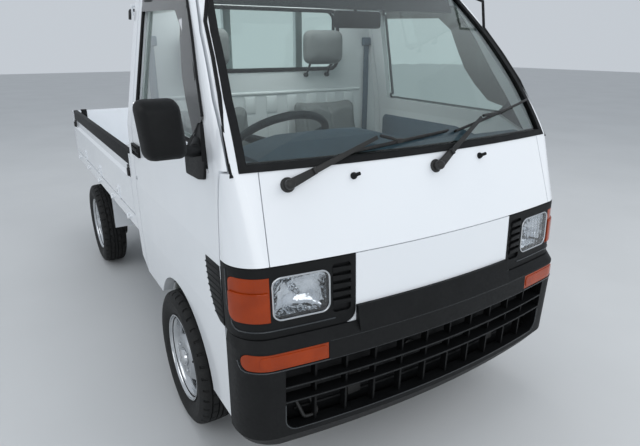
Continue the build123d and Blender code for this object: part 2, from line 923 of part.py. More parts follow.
def headrest(x):
    y = -455
    centre_z = headrest_low_z + headrest_tall / 2
    pad = Box(headrest_width, 90, headrest_tall).moved(Location((x, y, centre_z)))
    pad = fillet(pad.edges().filter_by(Axis.Y), 50)
    posts = [rod((x + s, y, seat_back_z), (x + s, y, headrest_low_z + 5), 6) for s in (-35, 35)]
    return fuse(pad, posts)


nodes["seats"] = [make(x) for x in seat_rows for make in (cushion, seat_back, headrest)]


# Wipers: pivot, arm and blade, both swept towards the truck's left
blade_lift = 24
wiper_table = [
    # pivot x, clip x and height, blade from and to: x and height
    (-508, (-192, 1158), (-343, 1126), (98, 1160)),
    (12, (268, 1184), (134, 1156), (600, 1226)),
]


def screen_point(x, z, lift):
    front = lean(z, [(row[0], row[1]) for row in upper_rows])
    return Vector(x, front + bow(x) - lift, z)


def wiper(pivot_x, clip, start, end):
    pivot_z = cowl_z - 40
    front = lean(pivot_z, [(row[0], row[1]) for row in lower_rows])
    base_y = front + bow(pivot_x)
    post = rod((pivot_x, base_y + 8, pivot_z - 3), (pivot_x, base_y - 30, pivot_z + 12), 15)
    clip_point = screen_point(*clip, blade_lift + 16)
    arm = rod((pivot_x, base_y - 22, pivot_z + 8), clip_point, 6)
    blade_start = screen_point(*start, blade_lift)
    blade_end = screen_point(*end, blade_lift)
    blade = rod(blade_start, blade_end, 6)
    link = rod(clip_point, (blade_start + blade_end) / 2, 6)
    return fuse(cut(post, nodes["front_panels"]), arm, link, blade)


nodes["wipers"] = [wiper(*row) for row in wiper_table]


# Bed: the load floor with its rear posts and mud panels, and the frame under it
deck_member_ys = [-240, 130, 500, 790, 1090, 1380]
deck_rail_width = 40


def bed_floor():
    low = bed_floor_z - bed_floor_thick
    load_half = bed_half - gate_thick - gap
    plate = box(-load_half, load_half, bed_front_y + 1, tail_y - 8 - gate_thick - gap, low, bed_floor_z)
    border = box(-bed_half, bed_half, bed_front_y, tail_y - 8, low, bed_floor_z - 1)
    posts = box(bed_half - 35, bed_half, tail_y - 44, tail_y - 8, bed_floor_z - 1, gate_top_z)
    mud_y = rear_axle_y - tyre_radius - 70
    mud_panels = box(530, bed_half - deck_rail_width, mud_y - 8, mud_y, 330, low)
    return solids_of(fuse(border, plate)) + both(posts) + both(mud_panels)


def bed_frame():
    low = bed_floor_z - bed_floor_thick
    inner = bed_half - deck_rail_width
    rear_y = tail_y - 8 - deck_rail_width
    rail = box(inner, bed_half, bed_front_y, tail_y - 8, bed_rail_low_z, low)
    tail = box(-inner, inner, rear_y, tail_y - 8, bed_rail_low_z, low)
    members = [box(-inner, inner, y, y + 45, rear_rail_top_z, low) for y in deck_member_ys]
    return both(rail) + [tail] + members


nodes["bed_floor"] = bed_floor()
nodes["bed_frame"] = bed_frame()


def guard_frame():
    board = box(-bed_half, bed_half, bed_front_y - 30, bed_front_y, bed_rail_low_z, gate_top_z)
    y = bed_front_y - guard_tube / 2
    half = guard_tube / 2
    posts = []
    for x in guard_posts:
        posts.append(box(x - half, x + half, y - half + 4, y + half - 4, gate_top_z, guard_top_z))
    end = guard_posts[-1] + half
    bar = box(-end, end, y - half, y + half, guard_top_z, guard_top_z + guard_tube)
    hook = rod((end, y, guard_top_z - 10), (end + 32, y, guard_top_z - 10), 5)
    hook_leg = rod((end + 28, y, guard_top_z - 6), (end + 28, y, guard_top_z - 46), 5)
    return fuse(board, both(posts), bar, both(fuse(hook, hook_leg)))


nodes["guard_frame"] = guard_frame()
gate_low_z = bed_floor_z + gate_hinge_drop + 2
hinge_z = gate_low_z - 4
gate_front_y = bed_front_y + gap
gate_rear_y = tail_y - 44 - gap


def gate_slab(start, end):
    points = [
        (0, gate_low_z), (0, gate_shoulder_z), (-gate_step, gate_shoulder_z + 18), (-gate_step, gate_top_z),
        (-gate_thick, gate_top_z), (-gate_thick, gate_low_z),
    ]
    outer = bed_half
    face = Face(Wire.make_polygon([(outer + x, start, z) for x, z in points]))
    return Solid.extrude(face, Vector(0, end - start, 0))


def side_gate():
    panel = gate_slab(gate_front_y, gate_rear_y)
    hinges = []
    for y in (60, 620, 1180):
        hinges.append(rod((bed_half + 4, y - 30, hinge_z), (bed_half + 4, y + 30, hinge_z), 3.5))
        hinges.append(box(bed_half - 1, bed_half + 5, y - 30, y + 30, hinge_z, hinge_z + 60))
    return fuse(panel, hinges)


def tail_gate():
    half = bed_half - 35 - gap
    panel = gate_slab(-half, half)
    panel = panel.rotate(Axis.Z, 90).moved(Location((0, tail_y - 8 - bed_half, 0)))
    hinges = []
    for x in (-450, 0, 450):
        hinges.append(rod((x - 30, tail_y - 4, hinge_z), (x + 30, tail_y - 4, hinge_z), 3.5))
        hinges.append(box(x - 30, x + 30, tail_y - 9, tail_y - 3, hinge_z, hinge_z + 60))
    return fuse(panel, hinges)


nodes["gate_left"] = side_gate()
nodes["gate_right"] = mirrored(nodes["gate_left"])
nodes["tail_gate"] = tail_gate()

# Tail lamps on brackets below the floor
nodes["tail_lamps"] = both(
    fuse(
        box(470, 640, tail_y - 70, tail_y - 12, 520, 600),
        box(530, 580, tail_y - 48, tail_y - 30, 598, bed_rail_low_z),
    )
)


# The mirror reaches further out than the left tyres, so the middle plane stands beside the origin
mirror_reach = mirror_mid_x + mirror_wide / 2
tyre_reach = max(front_track, rear_track) / 2 + tyre_width / 2
middle_x = (mirror_reach - tyre_reach) / 2


def export(name, shape):
    pieces = [piece.moved(Location((middle_x, 0, 0))) for piece in solids_of(shape)]
    whole = pieces[0] if len(pieces) == 1 else Compound(pieces)
    whole.label = name
    export_step(whole, f"parts/{name}.step")


for node_name, node_shape in nodes.items():
    export(node_name, node_shape)
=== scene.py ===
import json
import math

import bmesh
import bpy
from mathutils import Matrix, Vector
from mathutils.bvhtree import BVHTree


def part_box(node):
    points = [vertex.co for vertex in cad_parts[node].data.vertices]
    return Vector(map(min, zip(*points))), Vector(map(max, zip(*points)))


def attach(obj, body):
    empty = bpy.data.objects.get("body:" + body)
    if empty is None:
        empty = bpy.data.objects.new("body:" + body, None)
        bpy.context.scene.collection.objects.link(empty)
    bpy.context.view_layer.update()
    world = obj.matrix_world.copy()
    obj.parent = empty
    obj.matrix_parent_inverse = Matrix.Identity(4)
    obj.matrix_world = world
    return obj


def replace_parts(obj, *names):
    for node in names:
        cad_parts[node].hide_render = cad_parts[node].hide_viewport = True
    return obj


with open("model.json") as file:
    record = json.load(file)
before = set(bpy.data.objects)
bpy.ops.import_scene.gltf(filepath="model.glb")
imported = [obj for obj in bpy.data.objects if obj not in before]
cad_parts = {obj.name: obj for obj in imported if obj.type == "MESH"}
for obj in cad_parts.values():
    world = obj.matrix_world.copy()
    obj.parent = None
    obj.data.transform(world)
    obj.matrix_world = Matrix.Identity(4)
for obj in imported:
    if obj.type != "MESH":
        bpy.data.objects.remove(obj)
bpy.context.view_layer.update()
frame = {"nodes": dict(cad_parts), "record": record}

print("frame loaded")
nodes = frame["nodes"]
middle = sum(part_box("windscreen_seal"), Vector()).x / 2  # the truck's own middle plane stands beside the origin


# Colour and materials
def hexColour(text):  # sRGB as written, linear for the shader
    parts = [int(text[i:i + 2], 16) / 255 for i in (0, 2, 4)]
    linear = [c / 12.92 if c <= 0.04045 else ((c + 0.055) / 1.055) ** 2.4 for c in parts]
    return (*linear, 1.0)


def addNode(tree, kind, links, stops=(), **values):
    # links and socket values go by the socket's name, stops are a ramp's places and ends, the rest are properties
    node = tree.nodes.new("ShaderNode" + kind)
    for key, value in values.items():
        if key in node.inputs:
            node.inputs[key].default_value = value
        else:
            setattr(node, key, value)
    for key, source in links.items():
        tree.links.new(source, node.inputs[key])
    for index, (place, end) in enumerate(stops):
        node.color_ramp.elements[index].position = place
        node.color_ramp.elements[index].color = hexColour(end) if isinstance(end, str) else (end, end, end, 1)
    return node.outputs


def makeMaterial(name, blends, relief=None, **sockets):
    # blends: socket, size in mm, detail and roughness of a soft noise, the places and ends of its ramp
    # relief: N for noise or W for upright waves, size in mm, detail, depth in mm
    material = bpy.data.materials.new(name)
    material.use_nodes = True
    tree = material.node_tree
    shader = tree.nodes["Principled BSDF"]
    coords = {"Vector": addNode(tree, "TexCoord", {})["Object"]}
    for socket, size, detail, rough, places, ends in blends:
        fac = addNode(tree, "TexNoise", coords, Scale=1000 / size, Detail=detail, Roughness=rough)["Fac"]
        tones = addNode(tree, "ValToRGB", {"Fac": fac}, zip(places, ends))["Color"]
        tree.links.new(tones, shader.inputs[socket])
    if relief:
        kind, size, detail, depth = relief
        if kind == "N":
            height = addNode(tree, "TexNoise", coords, Scale=1000 / size, Detail=detail)["Fac"]
        else:
            height = addNode(tree, "TexWave", coords, Scale=500 / size / math.pi, bands_direction="X")["Fac"]
        normal = addNode(tree, "Bump", {"Height": height}, Strength=1.0, Distance=depth / 1000)["Normal"]
        tree.links.new(normal, shader.inputs["Normal"])
    for key, value in sockets.items():
        shader.inputs[key.replace("_", " ")].default_value = hexColour(value) if isinstance(value, str) else value
    return material


def surface(name, tones, size, rough, grain=None, **sockets):
    # two tones blended over size mm, a finer blend from low to high roughness, grain: size and depth in mm
    blends = [("Base Color", size, 3, 0.5, (0.3, 0.7), tones), ("Roughness", size / 5, 5, 0.6, (0.25, 0.75), rough)]
    return makeMaterial(name, blends, grain and ("N", grain[0], 2, grain[1]), **sockets)


def clearMaterial(name, colour, rough, ior=1.5):
    return makeMaterial(name, [("Roughness", 120, 4, 0.5, (0.3, 0.7), (rough, rough + 0.03))],
                        Base_Color=colour, Transmission_Weight=1.0, IOR=ior)


def mouldedLens(name, tones, pitch, **sockets):  # coloured plastic with upright prisms moulded behind its face
    blends = [("Base Color", 60, 3, 0.5, (0.3, 0.7), tones), ("Roughness", 15, 3, 0.5, (0.3, 0.7), (0.12, 0.2))]
    return makeMaterial(name, blends, ("W", pitch, 0, 0.25), **sockets)


# solid white body enamel under a clear coat: soft sky reflections on a clean white
whitePaint = surface("whiteEnamel", ("eef1f4", "e9edf1"), 700, (0.2, 0.26), Coat_Weight=0.6, Coat_Roughness=0.05)
# brushed cab floor paint: flat and a little dusty
floorPaint = surface("floorEnamel", ("9a9d98", "8d908b"), 120, (0.5, 0.65), (3, 0.05))
# grained bumper moulding: its fine grain scatters the sky
blackPlastic = surface("grainedBlackPlastic", ("08090a", "0e0f10"), 60, (0.5, 0.64), (0.9, 0.05),
                       Specular_IOR_Level=0.28)
# smooth moulded edges, their black lightened as a painted highlight; their gloss also catches a thin light
highlightEdgePlastic = surface("paintedHighlightBlackPlastic", ("2b2f32", "363a3d"), 40, (0.2, 0.3), Coat_Weight=0.3)
# blue-grey dashboard moulding: matt, with a fine leather grain
cabinPlastic = surface("cabinPlastic", ("54697a", "4c6070"), 90, (0.55, 0.68), (0.8, 0.05))
# steering wheel vinyl: darker, worn smooth by hands; the same vinyl darkens the header panel, partly as painted shade
wheelVinylAndHeaderShade = surface("wheelVinylAndHeaderShade", ("252d33", "1e252a"), 40, (0.45, 0.55), (0.8, 0.04))
# extruded seals and guards: dull black, hardly any highlight
blackRubber = surface("blackRubber", ("0c0d0e", "141516"), 40, (0.55, 0.72), (1.2, 0.03), Specular_IOR_Level=0.3)
# sprayed chassis paint: dark, with a patchy half-gloss
blackSteel = surface("blackSteelPaint", ("1a1b1c", "262523"), 90, (0.35, 0.55), (2, 0.03))
# sand-cast iron: rough and brown-grey
castMetal = surface("castIron", ("4b4a49", "5c5855"), 25, (0.55, 0.75), (1.4, 0.15), Metallic=0.6)
# weathered bare steel: a dull, warm metal
bareSteel = surface("dullSteel", ("8a8783", "726c66"), 40, (0.35, 0.55), (2, 0.04), Metallic=0.9)
# rolled aluminium core: even, satin metal
alloyMetal = surface("alloyCore", ("8e9092", "7d8083"), 30, (0.3, 0.45), (1, 0.05), Metallic=0.9)
# sprayed silver wheel paint: fine flake, softer than bare metal
wheelPaint = surface("silverWheelPaint", ("b9bcbf", "a9adb1"), 50, (0.28, 0.4), (0.6, 0.01), Metallic=0.75)
# plated rims and mirror glass: sharp reflections
brightMetal = surface("platedSteel", ("d4d6d8", "c6c9cc"), 60, (0.1, 0.2), Metallic=1.0)
# moulded tyre tread: dusty black
tyreRubber = surface("tyreRubber", ("161718", "1f1f1e"), 30, (0.65, 0.85), (1.5, 0.08), Specular_IOR_Level=0.35)
# grained seat vinyl: grey with a broad soft sheen
seatVinyl = surface("seatVinyl", ("787c7d", "6d7173"), 60, (0.5, 0.62), (1.1, 0.06))
# float glass with a faint green tint
windowGlass = clearMaterial("greenTintGlass", "eaf5f1", 0.0)
# clear moulded plastic: nearly invisible but for its edges
clearLens = clearMaterial("clearLens", "f6f8fa", 0.02)
# smoked acrylic rain visor: dims what is behind it
smokedPlastic = clearMaterial("smokedPlastic", "5b5753", 0.12, 1.49)
# amber and red lamp plastic: the prisms break up the highlight
amberLens = mouldedLens("amberLens", ("a03a08", "8f3206"), 9, Specular_IOR_Level=0.25, Coat_Weight=0.2,
                        Coat_Roughness=0.08)
redLens = mouldedLens("redLens", ("a81418", "961013"), 9, Coat_Weight=0.6, Coat_Roughness=0.06)
# pressed headlamp glass with upright prisms that smear the bowl behind it
flutedGlass = makeMaterial("flutedLensGlass", [("Roughness", 30, 3, 0.5, (0.3, 0.7), (0.02, 0.07))],
                           ("W", 12, 0, 0.6), Base_Color="f7f9fb", Transmission_Weight=1.0)
# vapour-coated lamp bowl: mirror-bright and slightly rippled
reflector = makeMaterial("aluminisedReflector", [("Base Color", 60, 3, 0.5, (0.3, 0.7), ("eceef0", "c6cacd"))],
                         ("N", 16, 1, 2.2), Metallic=1.0, Roughness=0.08)
# reflective white plate paint, and the sun visors' pale vinyl
platePaint = surface("platePaint", ("e8eae6", "dfe2de"), 80, (0.4, 0.5))
visorVinyl = surface("visorVinyl", ("9b9ea0", "93969a"), 50, (0.6, 0.7), (1, 0.05))

slots = {  # the record's slot of each finish; the first of a slot also covers its CAD solids
    "white_paint": (whitePaint, platePaint), "floor_paint": (floorPaint,), "black_plastic": (blackPlastic, highlightEdgePlastic),
    "cabin_plastic": (cabinPlastic, wheelVinylAndHeaderShade), "black_rubber": (blackRubber,), "black_steel": (blackSteel,),
    "clear_lens": (clearLens, flutedGlass, reflector), "amber_lens": (amberLens,), "red_lens": (redLens,),
    "tinted_glass": (windowGlass, smokedPlastic), "alloy": (alloyMetal,), "cast_metal": (castMetal,),
    "bare_steel": (bareSteel,), "seat_vinyl": (seatVinyl, visorVinyl), "tyre_rubber": (tyreRubber,),
    "silver_paint": (wheelPaint,),
}
slotOf = {material.name: slotName for slotName, group in slots.items() for material in group}
for part in frame["record"]["subparts"]:
    cadNode = nodes[part["node"]]
    cadNode.data.materials.clear()
    cadNode.data.materials.append(slots[part["material_slot"]][0])
print("materials made")


# Modelling: places are in metres about the truck's middle plane until finishPiece moves them
def activate(piece):
    bpy.ops.object.select_all(action="DESELECT")
    piece.select_set(True)
    bpy.context.view_layer.objects.active = piece


def startShape(name, add, scale=(1, 1, 1), **values):  # a primitive with its place and size applied
    bpy.ops.object.select_all(action="DESELECT")
    add(**values)
    piece = bpy.context.object
    piece.scale = scale
    bpy.ops.object.transform_apply(location=True, rotation=True, scale=True)
    piece.name = name
    return piece


def startBox(name, low, high):
    low, high = Vector(low), Vector(high)
    return startShape(name, bpy.ops.mesh.primitive_cube_add, high - low, size=1, location=(low + high) / 2)


def startRod(name, start, end, radius, sides=24, endRadius=None):
    start, end = Vector(start), Vector(end)
    run = end - start
    return startShape(name, bpy.ops.mesh.primitive_cone_add, vertices=sides, radius1=radius,
                      radius2=radius if endRadius is None else endRadius, depth=run.length,
                      location=(start + end) / 2, rotation=run.to_track_quat("Z", "Y").to_euler())


def startOutline(name, points, fill="NGON"):  # a circle's corners pulled onto the outline
    piece = startShape(name, bpy.ops.mesh.primitive_circle_add, vertices=len(points), fill_type=fill)
    for vertex, point in zip(piece.data.vertices, points):
        vertex.co = point
    return piece


def openEdit(piece):
    activate(piece)
    bpy.ops.object.mode_set(mode="EDIT")
    bpy.ops.mesh.select_all(action="SELECT")


def closeEdit(tidy=True):
    if tidy:
        bpy.ops.mesh.select_all(action="SELECT")
        bpy.ops.mesh.remove_doubles(threshold=0.00002)
        bpy.ops.mesh.normals_make_consistent(inside=False)
    bpy.ops.object.mode_set(mode="OBJECT")


def pickFaces(test):  # in edit mode, the faces whose middle and normal pass the test
    mesh = bmesh.from_edit_mesh(bpy.context.object.data)
    bpy.ops.mesh.select_mode(type="FACE")
    bpy.ops.mesh.select_all(action="DESELECT")
    for face in mesh.faces:
        face.select_set(bool(test(face.calc_center_median(), face.normal)))
    bmesh.update_edit_mesh(bpy.context.object.data)


def useModifier(piece, kind, **values):
    activate(piece)
    modifier = piece.modifiers.new(kind.lower(), kind)
    for key, value in values.items():
        setattr(modifier, key, value)
    bpy.ops.object.modifier_apply(modifier=modifier.name)
    return piece


def softEdges(piece, width, segments=2, angle=35):
    return useModifier(piece, "BEVEL", width=width, segments=segments, limit_method="ANGLE",
                       angle_limit=math.radians(angle))


def makeSlab(name, points, run, edge=0.0):  # an outline pulled along run
    piece = startOutline(name, points)
    openEdit(piece)
    bpy.ops.mesh.extrude_region_move(TRANSFORM_OT_translate={"value": run})
    closeEdit()
    return softEdges(piece, edge) if edge else piece


def makeBox(name, low, high, edge, segments=2):
    return softEdges(startBox(name, low, high), edge, segments)


def makeLathe(name, profile, centre=(0, 0, 0), axis=(1, 0, 0), steps=48):  # profile: along the axis, radius
    axis = Vector(axis).normalized()
    side = axis.orthogonal().normalized()
    centre = Vector(centre)
    piece = startOutline(name, [centre + axis * along + side * radius for along, radius in profile], "NOTHING")
    openEdit(piece)
    bpy.ops.mesh.spin(steps=steps, angle=2 * math.pi, center=centre, axis=axis)
    closeEdit()
    return piece


def makeTube(name, points, radius, sides=2):  # a round bar along a route of points
    curve = bpy.data.curves.new(name, "CURVE")
    curve.dimensions = "3D"
    curve.bevel_depth = radius
    curve.bevel_resolution = sides
    curve.use_fill_caps = True
    spline = curve.splines.new("POLY")
    spline.points.add(len(points) - 1)
    for point, place in zip(spline.points, points):
        point.co = (*place, 1)
    piece = bpy.data.objects.new(name, curve)
    bpy.context.scene.collection.objects.link(piece)
    activate(piece)
    bpy.ops.object.convert(target="MESH")
    piece = bpy.context.object
    openEdit(piece)
    closeEdit()
    return piece


def vectors(points):
    return [Vector(point) for point in points]


def curvePoints(points, steps=8):  # a smooth line through the points
    points = vectors(points)
    ends = [points[0] * 2 - points[1]] + points + [points[-1] * 2 - points[-2]]
    line = []
    for a, b, c, d in zip(ends, ends[1:], ends[2:], ends[3:]):
        for step in range(steps):
            t = step / steps
            line.append(0.5 * (2 * b + (c - a) * t + (2 * a - 5 * b + 4 * c - d) * t * t
                               + (3 * b - a - 3 * c + d) * t ** 3))
    return line + [points[-1]]


def roundCorners(points, radius, steps=5):  # a flat outline with arcs at its corners
    points = vectors(points)
    outline = []
    for index, corner in enumerate(points):
        before = (points[index - 1] - corner).normalized()
        after = (points[(index + 1) % len(points)] - corner).normalized()
        half = before.angle(after) / 2
        centre = corner + (before + after).normalized() * radius / math.sin(half)
        reach = radius / math.tan(half)
        for step in range(steps + 1):
            arm = (corner + before * reach - centre).lerp(corner + after * reach - centre, step / steps)
            outline.append(centre + arm.normalized() * radius)
    return outline


def joinPieces(name, pieces):
    bpy.ops.object.select_all(action="DESELECT")
    for piece in pieces:
        piece.select_set(True)
    bpy.context.view_layer.objects.active = pieces[0]
    if len(pieces) > 1:
        bpy.ops.object.join()
    pieces[0].name = name
    return pieces[0]


def copyPiece(piece, name, shift=(0, 0, 0)):
    twin = bpy.data.objects.new(name, piece.data.copy())
    bpy.context.scene.collection.objects.link(twin)
    twin.data.transform(Matrix.Translation(shift))
    return twin


def repeatPiece(name, piece, shifts):  # the piece and its shifted copies, joined
    return joinPieces(name, [piece] + [copyPiece(piece, piece.name, shift) for shift in shifts])


def mirrorPiece(piece, name):  # the same piece on the truck's other side
    twin = copyPiece(piece, name)
    twin.data.transform(Matrix.Scale(-1, 4, (1, 0, 0)))
    openEdit(twin)
    bpy.ops.mesh.flip_normals()
    closeEdit(False)
    return twin


def finishPiece(piece, body, material, smooth=40, slotName=None):
    piece.data.materials.clear()
    piece.data.materials.append(material)
    for face in piece.data.polygons:
        face.material_index = 0
    activate(piece)
    bpy.ops.object.shade_smooth_by_angle(angle=math.radians(smooth))
    piece.data.transform(Matrix.Translation((middle, 0, 0)))
    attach(piece, body)
    slotName or slotOf[material.name]
    return piece


def finishBoth(piece, body, material, smooth=40, slotName=None):  # the left piece, and its mirror image on the right
    base = piece.name
    right = {"door_left": "door_right", "gate_left": "gate_right"}.get(body, body)
    twin = mirrorPiece(piece, base + ".right")
    piece.name = base + ".left"
    finishPiece(twin, right, material, smooth, slotName)
    return finishPiece(piece, body, material, smooth, slotName)


def skinOf(names):  # the outside of CAD nodes, for laying trim on it
    points, faces = [], []
    for name in names:
        mesh = nodes[name].data
        start = len(points)
        points += [v.co - Vector((middle, 0, 0)) for v in mesh.vertices]
        faces += [[start + i for i in face.vertices] for face in mesh.polygons]
    return BVHTree.FromPolygons(points, faces)


cabSkin = skinOf(["front_panels", "lamp_bezels", "cab_pillars", "cab_roof", "cab_glass", "windscreen_seal",
                  "door_left", "door_right", "headlamps", "amber_lamps"])
doorSkin = skinOf(["door_left", "door_glass_left", "door_fittings_left"])
cowlSkin = skinOf(["lamp_bezels", "headlamps", "amber_lamps", "front_panels"])
bumperSkin = skinOf(["bumper", "amber_lamps"])


def frontAt(x, z, lift=0.0, skin=cabSkin):  # the point of a front skin at x and z, lifted off it
    hit = skin.ray_cast(Vector((x, -3, z)), Vector((0, 1, 0)))
    return hit[0] + hit[1] * lift if hit[0] else Vector((x, 0, z))


def sideAt(y, z, lift=0.0):  # the point of the left door at y and z, lifted off it
    hit = doorSkin.ray_cast(Vector((3, y, z)), Vector((-1, 0, 0)))
    return hit[0] + hit[1] * lift if hit[0] else Vector((0, y, z))


# Wheels
tyreSizes = {
    "seatHalf": 0.0725 * 0.69, "rimSeat": 0.156, "steps": 144,
    # strips cut across the tread: from and to across, above this radius, which of four, width, depth
    "cuts": ((0.041, 0.063, 0.255, 0, 0.0022, 0.005), (0.013, 0.030, 0.262, 2, 0.0022 * 1.6, 0.004)),
}
wheelSizes = {"steps": 72, "nuts": 4, "nutCircle": 0.055, "openings": 4, "turn": 0.38, "corner": 0.019,
              "opening": ((-0.04, 0.09), (0.04, 0.09), (0.07, 0.139), (-0.07, 0.139))}


def makeTyre(name):
    t = tyreSizes
    side = [(0.0505, 0.1695), (0.0555, 0.174), (0.061, 0.183), (0.069, 0.201), (0.0722, 0.217), (0.0718, 0.231),
            (0.0724, 0.233), (0.0718, 0.235), (0.0685, 0.245), (0.0645, 0.2525), (0.06, 0.259), (0.054, 0.2633),
            (0.044, 0.2656), (0.037, 0.2664), (0.0362, 0.26), (0.0322, 0.26), (0.0314, 0.2668), (0.012, 0.2678),
            (0.0112, 0.2606), (0.007, 0.2606), (0.0062, 0.2678)]
    seat = [(-t["seatHalf"], t["rimSeat"]), (t["seatHalf"], t["rimSeat"])]
    piece = makeLathe(name, side + [(-x, r) for x, r in reversed(side)] + seat, steps=t["steps"])
    openEdit(piece)
    for near, far, above, strip, width, depth in t["cuts"]:
        def block(place, normal):
            step = int(round(math.atan2(place.z, place.y) / (2 * math.pi) * t["steps"] - 0.5))
            return near < abs(place.x) < far and place.y ** 2 + place.z ** 2 > above ** 2 and step % 4 == strip
        pickFaces(block)
        bpy.ops.mesh.inset(thickness=width, depth=-depth)
    closeEdit(False)
    return piece


def makeWheel():
    w = wheelSizes
    barrel = makeLathe("barrel", [
        (0.05, 0.17), (0.056, 0.1722), (0.0605, 0.1715), (0.0615, 0.169), (0.06, 0.1668), (0.0545, 0.1655),
        (0.05, 0.162), (0.047, 0.154), (0.038, 0.148), (0, 0.144), (-0.045, 0.144), (-0.052, 0.16),
        (-0.058, 0.169), (-0.056, 0.1715), (-0.05, 0.164), (-0.043, 0.148), (0, 0.148), (0.033, 0.1515),
        (0.043, 0.1575), (0.046, 0.165)], steps=w["steps"])
    disc = makeLathe("disc", [
        (0.023, 0.15), (0.027, 0.144), (0.029, 0.137), (0.033, 0.106), (0.04, 0.092), (0.048, 0.085),
        (0.0512, 0.079), (0.0505, 0.065), (0.049, 0.04), (0.047, 0.037), (0.04, 0.036), (0.04, 0.031),
        (0.045, 0.031), (0.044, 0.06), (0.045, 0.076), (0.04, 0.082), (0.032, 0.088), (0.025, 0.104),
        (0.0215, 0.136), (0.017, 0.147)], steps=w["steps"])
    cutters = []
    for index in range(w["openings"]):
        cutter = makeSlab("cutter", roundCorners([(0, y, z) for y, z in w["opening"]], w["corner"]), (0.1, 0, 0))
        cutter.data.transform(Matrix.Rotation(w["turn"] + 2 * math.pi * index / w["openings"], 4, "X"))
        cutters.append(cutter)
    cutters = joinPieces("cutters", cutters)
    useModifier(disc, "BOOLEAN", operation="DIFFERENCE", object=cutters, solver="EXACT")
    bpy.data.objects.remove(cutters)
    softEdges(disc, 0.0022, 2, 40)
    hub = [makeLathe("cap", [(0.044, 0.03), (0.05, 0.0345), (0.059, 0.032), (0.063, 0.027), (0.064, 0.02),
                             (0.0625, 0.003), (0.044, 0.003)])]
    for index in range(w["nuts"]):
        turn = 2 * math.pi * (index + 0.5) / w["nuts"]
        y, z = w["nutCircle"] * math.cos(turn), w["nutCircle"] * math.sin(turn)
        hub.append(softEdges(startRod("nut", (0.047, y, z), (0.059, y, z), 0.0095, 6, 0.0085), 0.0015))
    valve = softEdges(startRod("valve", (0.036, 0.128, 0.052), (0.058, 0.126, 0.05), 0.004, 12), 0.001)
    return barrel, disc, joinPieces("hub", hub), valve


wheelTyre = makeTyre("tyre")
barrel, disc, hub, valve = makeWheel()
for name in ("front_left", "front_right", "rear_left", "rear_right"):
    centre = sum(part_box("tyre_" + name), Vector()) / 2 - Vector((middle, 0, 0))
    for piece, label, material, slotName, angle in (
            (wheelTyre, "tyre", tyreRubber, "tyre_rubber", 30), (barrel, "rim", brightMetal, "silver_paint", 40),
            (disc, "disc", wheelPaint, "silver_paint", 30), (hub, "hubCap", brightMetal, "silver_paint", 35),
            (valve, "valve", blackRubber, "tyre_rubber", 40)):
        twin = copyPiece(piece, f"{label}.{name}")
        if name.endswith("right"):
            twin.data.transform(Matrix.Rotation(math.pi, 4, "Z"))
        twin.data.transform(Matrix.Translation(centre))
        finishPiece(twin, "wheel_" + name, material, angle, slotName)
        if label in ("tyre", "rim"):
            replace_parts(twin, f"{label}_{name}")
for piece in (wheelTyre, barrel, disc, hub, valve):
    bpy.data.objects.remove(piece)
print("wheels made")


# Doors: the driver's mirror on its arm; sail, handle, window rubber, visor and louvre plate on both
mirrorSizes = {"centre": Vector((0.812, -1.385, 1.225)), "half": Vector((0.064, 0.038, 0.081)), "round": 0.028,
               "inset": 0.005, "dish": 0.008, "shift": 0.004, "width": 0.92, "taper": 0.15, "fall": 0.14,
               "lean": 0.09, "glassShare": 0.8, "glassEdge": 0.009}


def makeMirror():
    m = mirrorSizes
    x, y, z = m["centre"]
    hx, hy, hz = m["half"]
    case = softEdges(startBox("mirrorCase", m["centre"] - m["half"], m["centre"] + m["half"]), m["round"], 5, 30)
    openEdit(case)
    pickFaces(lambda place, normal: normal.y > 0.9)
    bpy.ops.mesh.inset(thickness=m["inset"], depth=0)
    bpy.ops.mesh.extrude_region_move(TRANSFORM_OT_translate={"value": (0, -m["dish"], 0)})
    closeEdit(False)
    for vertex in case.data.vertices:  # the case narrows towards its front face and leans with the arm
        co = vertex.co
        share = max(0.0, (y + hy - co.y) / (2 * hy)) ** 2
        co.x = x - m["shift"] + (co.x - x) * (m["width"] - m["taper"] * share) + (co.z - z) * m["lean"]
        co.z = z + (co.z - z) * (1 - m["fall"] * share)
    reach, tall = hx * m["glassShare"], hz - m["glassEdge"]
    glass = softEdges(startBox("mirrorGlass", (x - reach - m["shift"], y + hy - 0.009, z - tall),
                               (x + reach - m["shift"], y + hy - 0.006, z + tall)), 0.0012)
    for vertex in glass.data.vertices:
        vertex.co.x += (vertex.co.z - z) * m["lean"]
    arm = makeTube("mirrorArm", curvePoints([(0.672, -1.3, 1.16), (0.7, -1.325, 1.152), (0.735, -1.352, 1.158),
                                             (0.768, -1.375, 1.178)]), 0.0165, 4)
    socket = softEdges(startRod("mirrorSocket", (0.66, -1.262, 1.158), (0.703, -1.324, 1.153), 0.032, 24, 0.019), 0.004)
    return case, glass, joinPieces("mirrorArm", [arm, socket])


for piece, material in zip(makeMirror(), (blackPlastic, brightMetal, blackPlastic)):
    name = piece.name
    twin = mirrorPiece(piece, name + ".right")
    bpy.data.objects.remove(piece)
    finishPiece(twin, "door_right", material, 40, "black_plastic")
    if name == "mirrorCase":
        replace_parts(twin, "door_fittings_right")

windowEdge = [(-0.5, 1.165), (-1.228, 1.158), (-1.29, 1.229), (-1.21, 1.336), (-1.135, 1.448), (-1.06, 1.545),
              (-1.01, 1.59), (-0.5, 1.594)]
sailEdge = [(-1.294, 1.226), (-1.215, 1.163), (-1.181, 1.111), (-1.189, 1.059), (-1.3, 1.062), (-1.35, 1.072),
            (-1.358, 1.125)]
handleSizes = {"y": -0.489, "z": 1.014, "halfLong": 0.06, "halfTall": 0.024, "lockY": -0.445, "lockZ": 0.885}


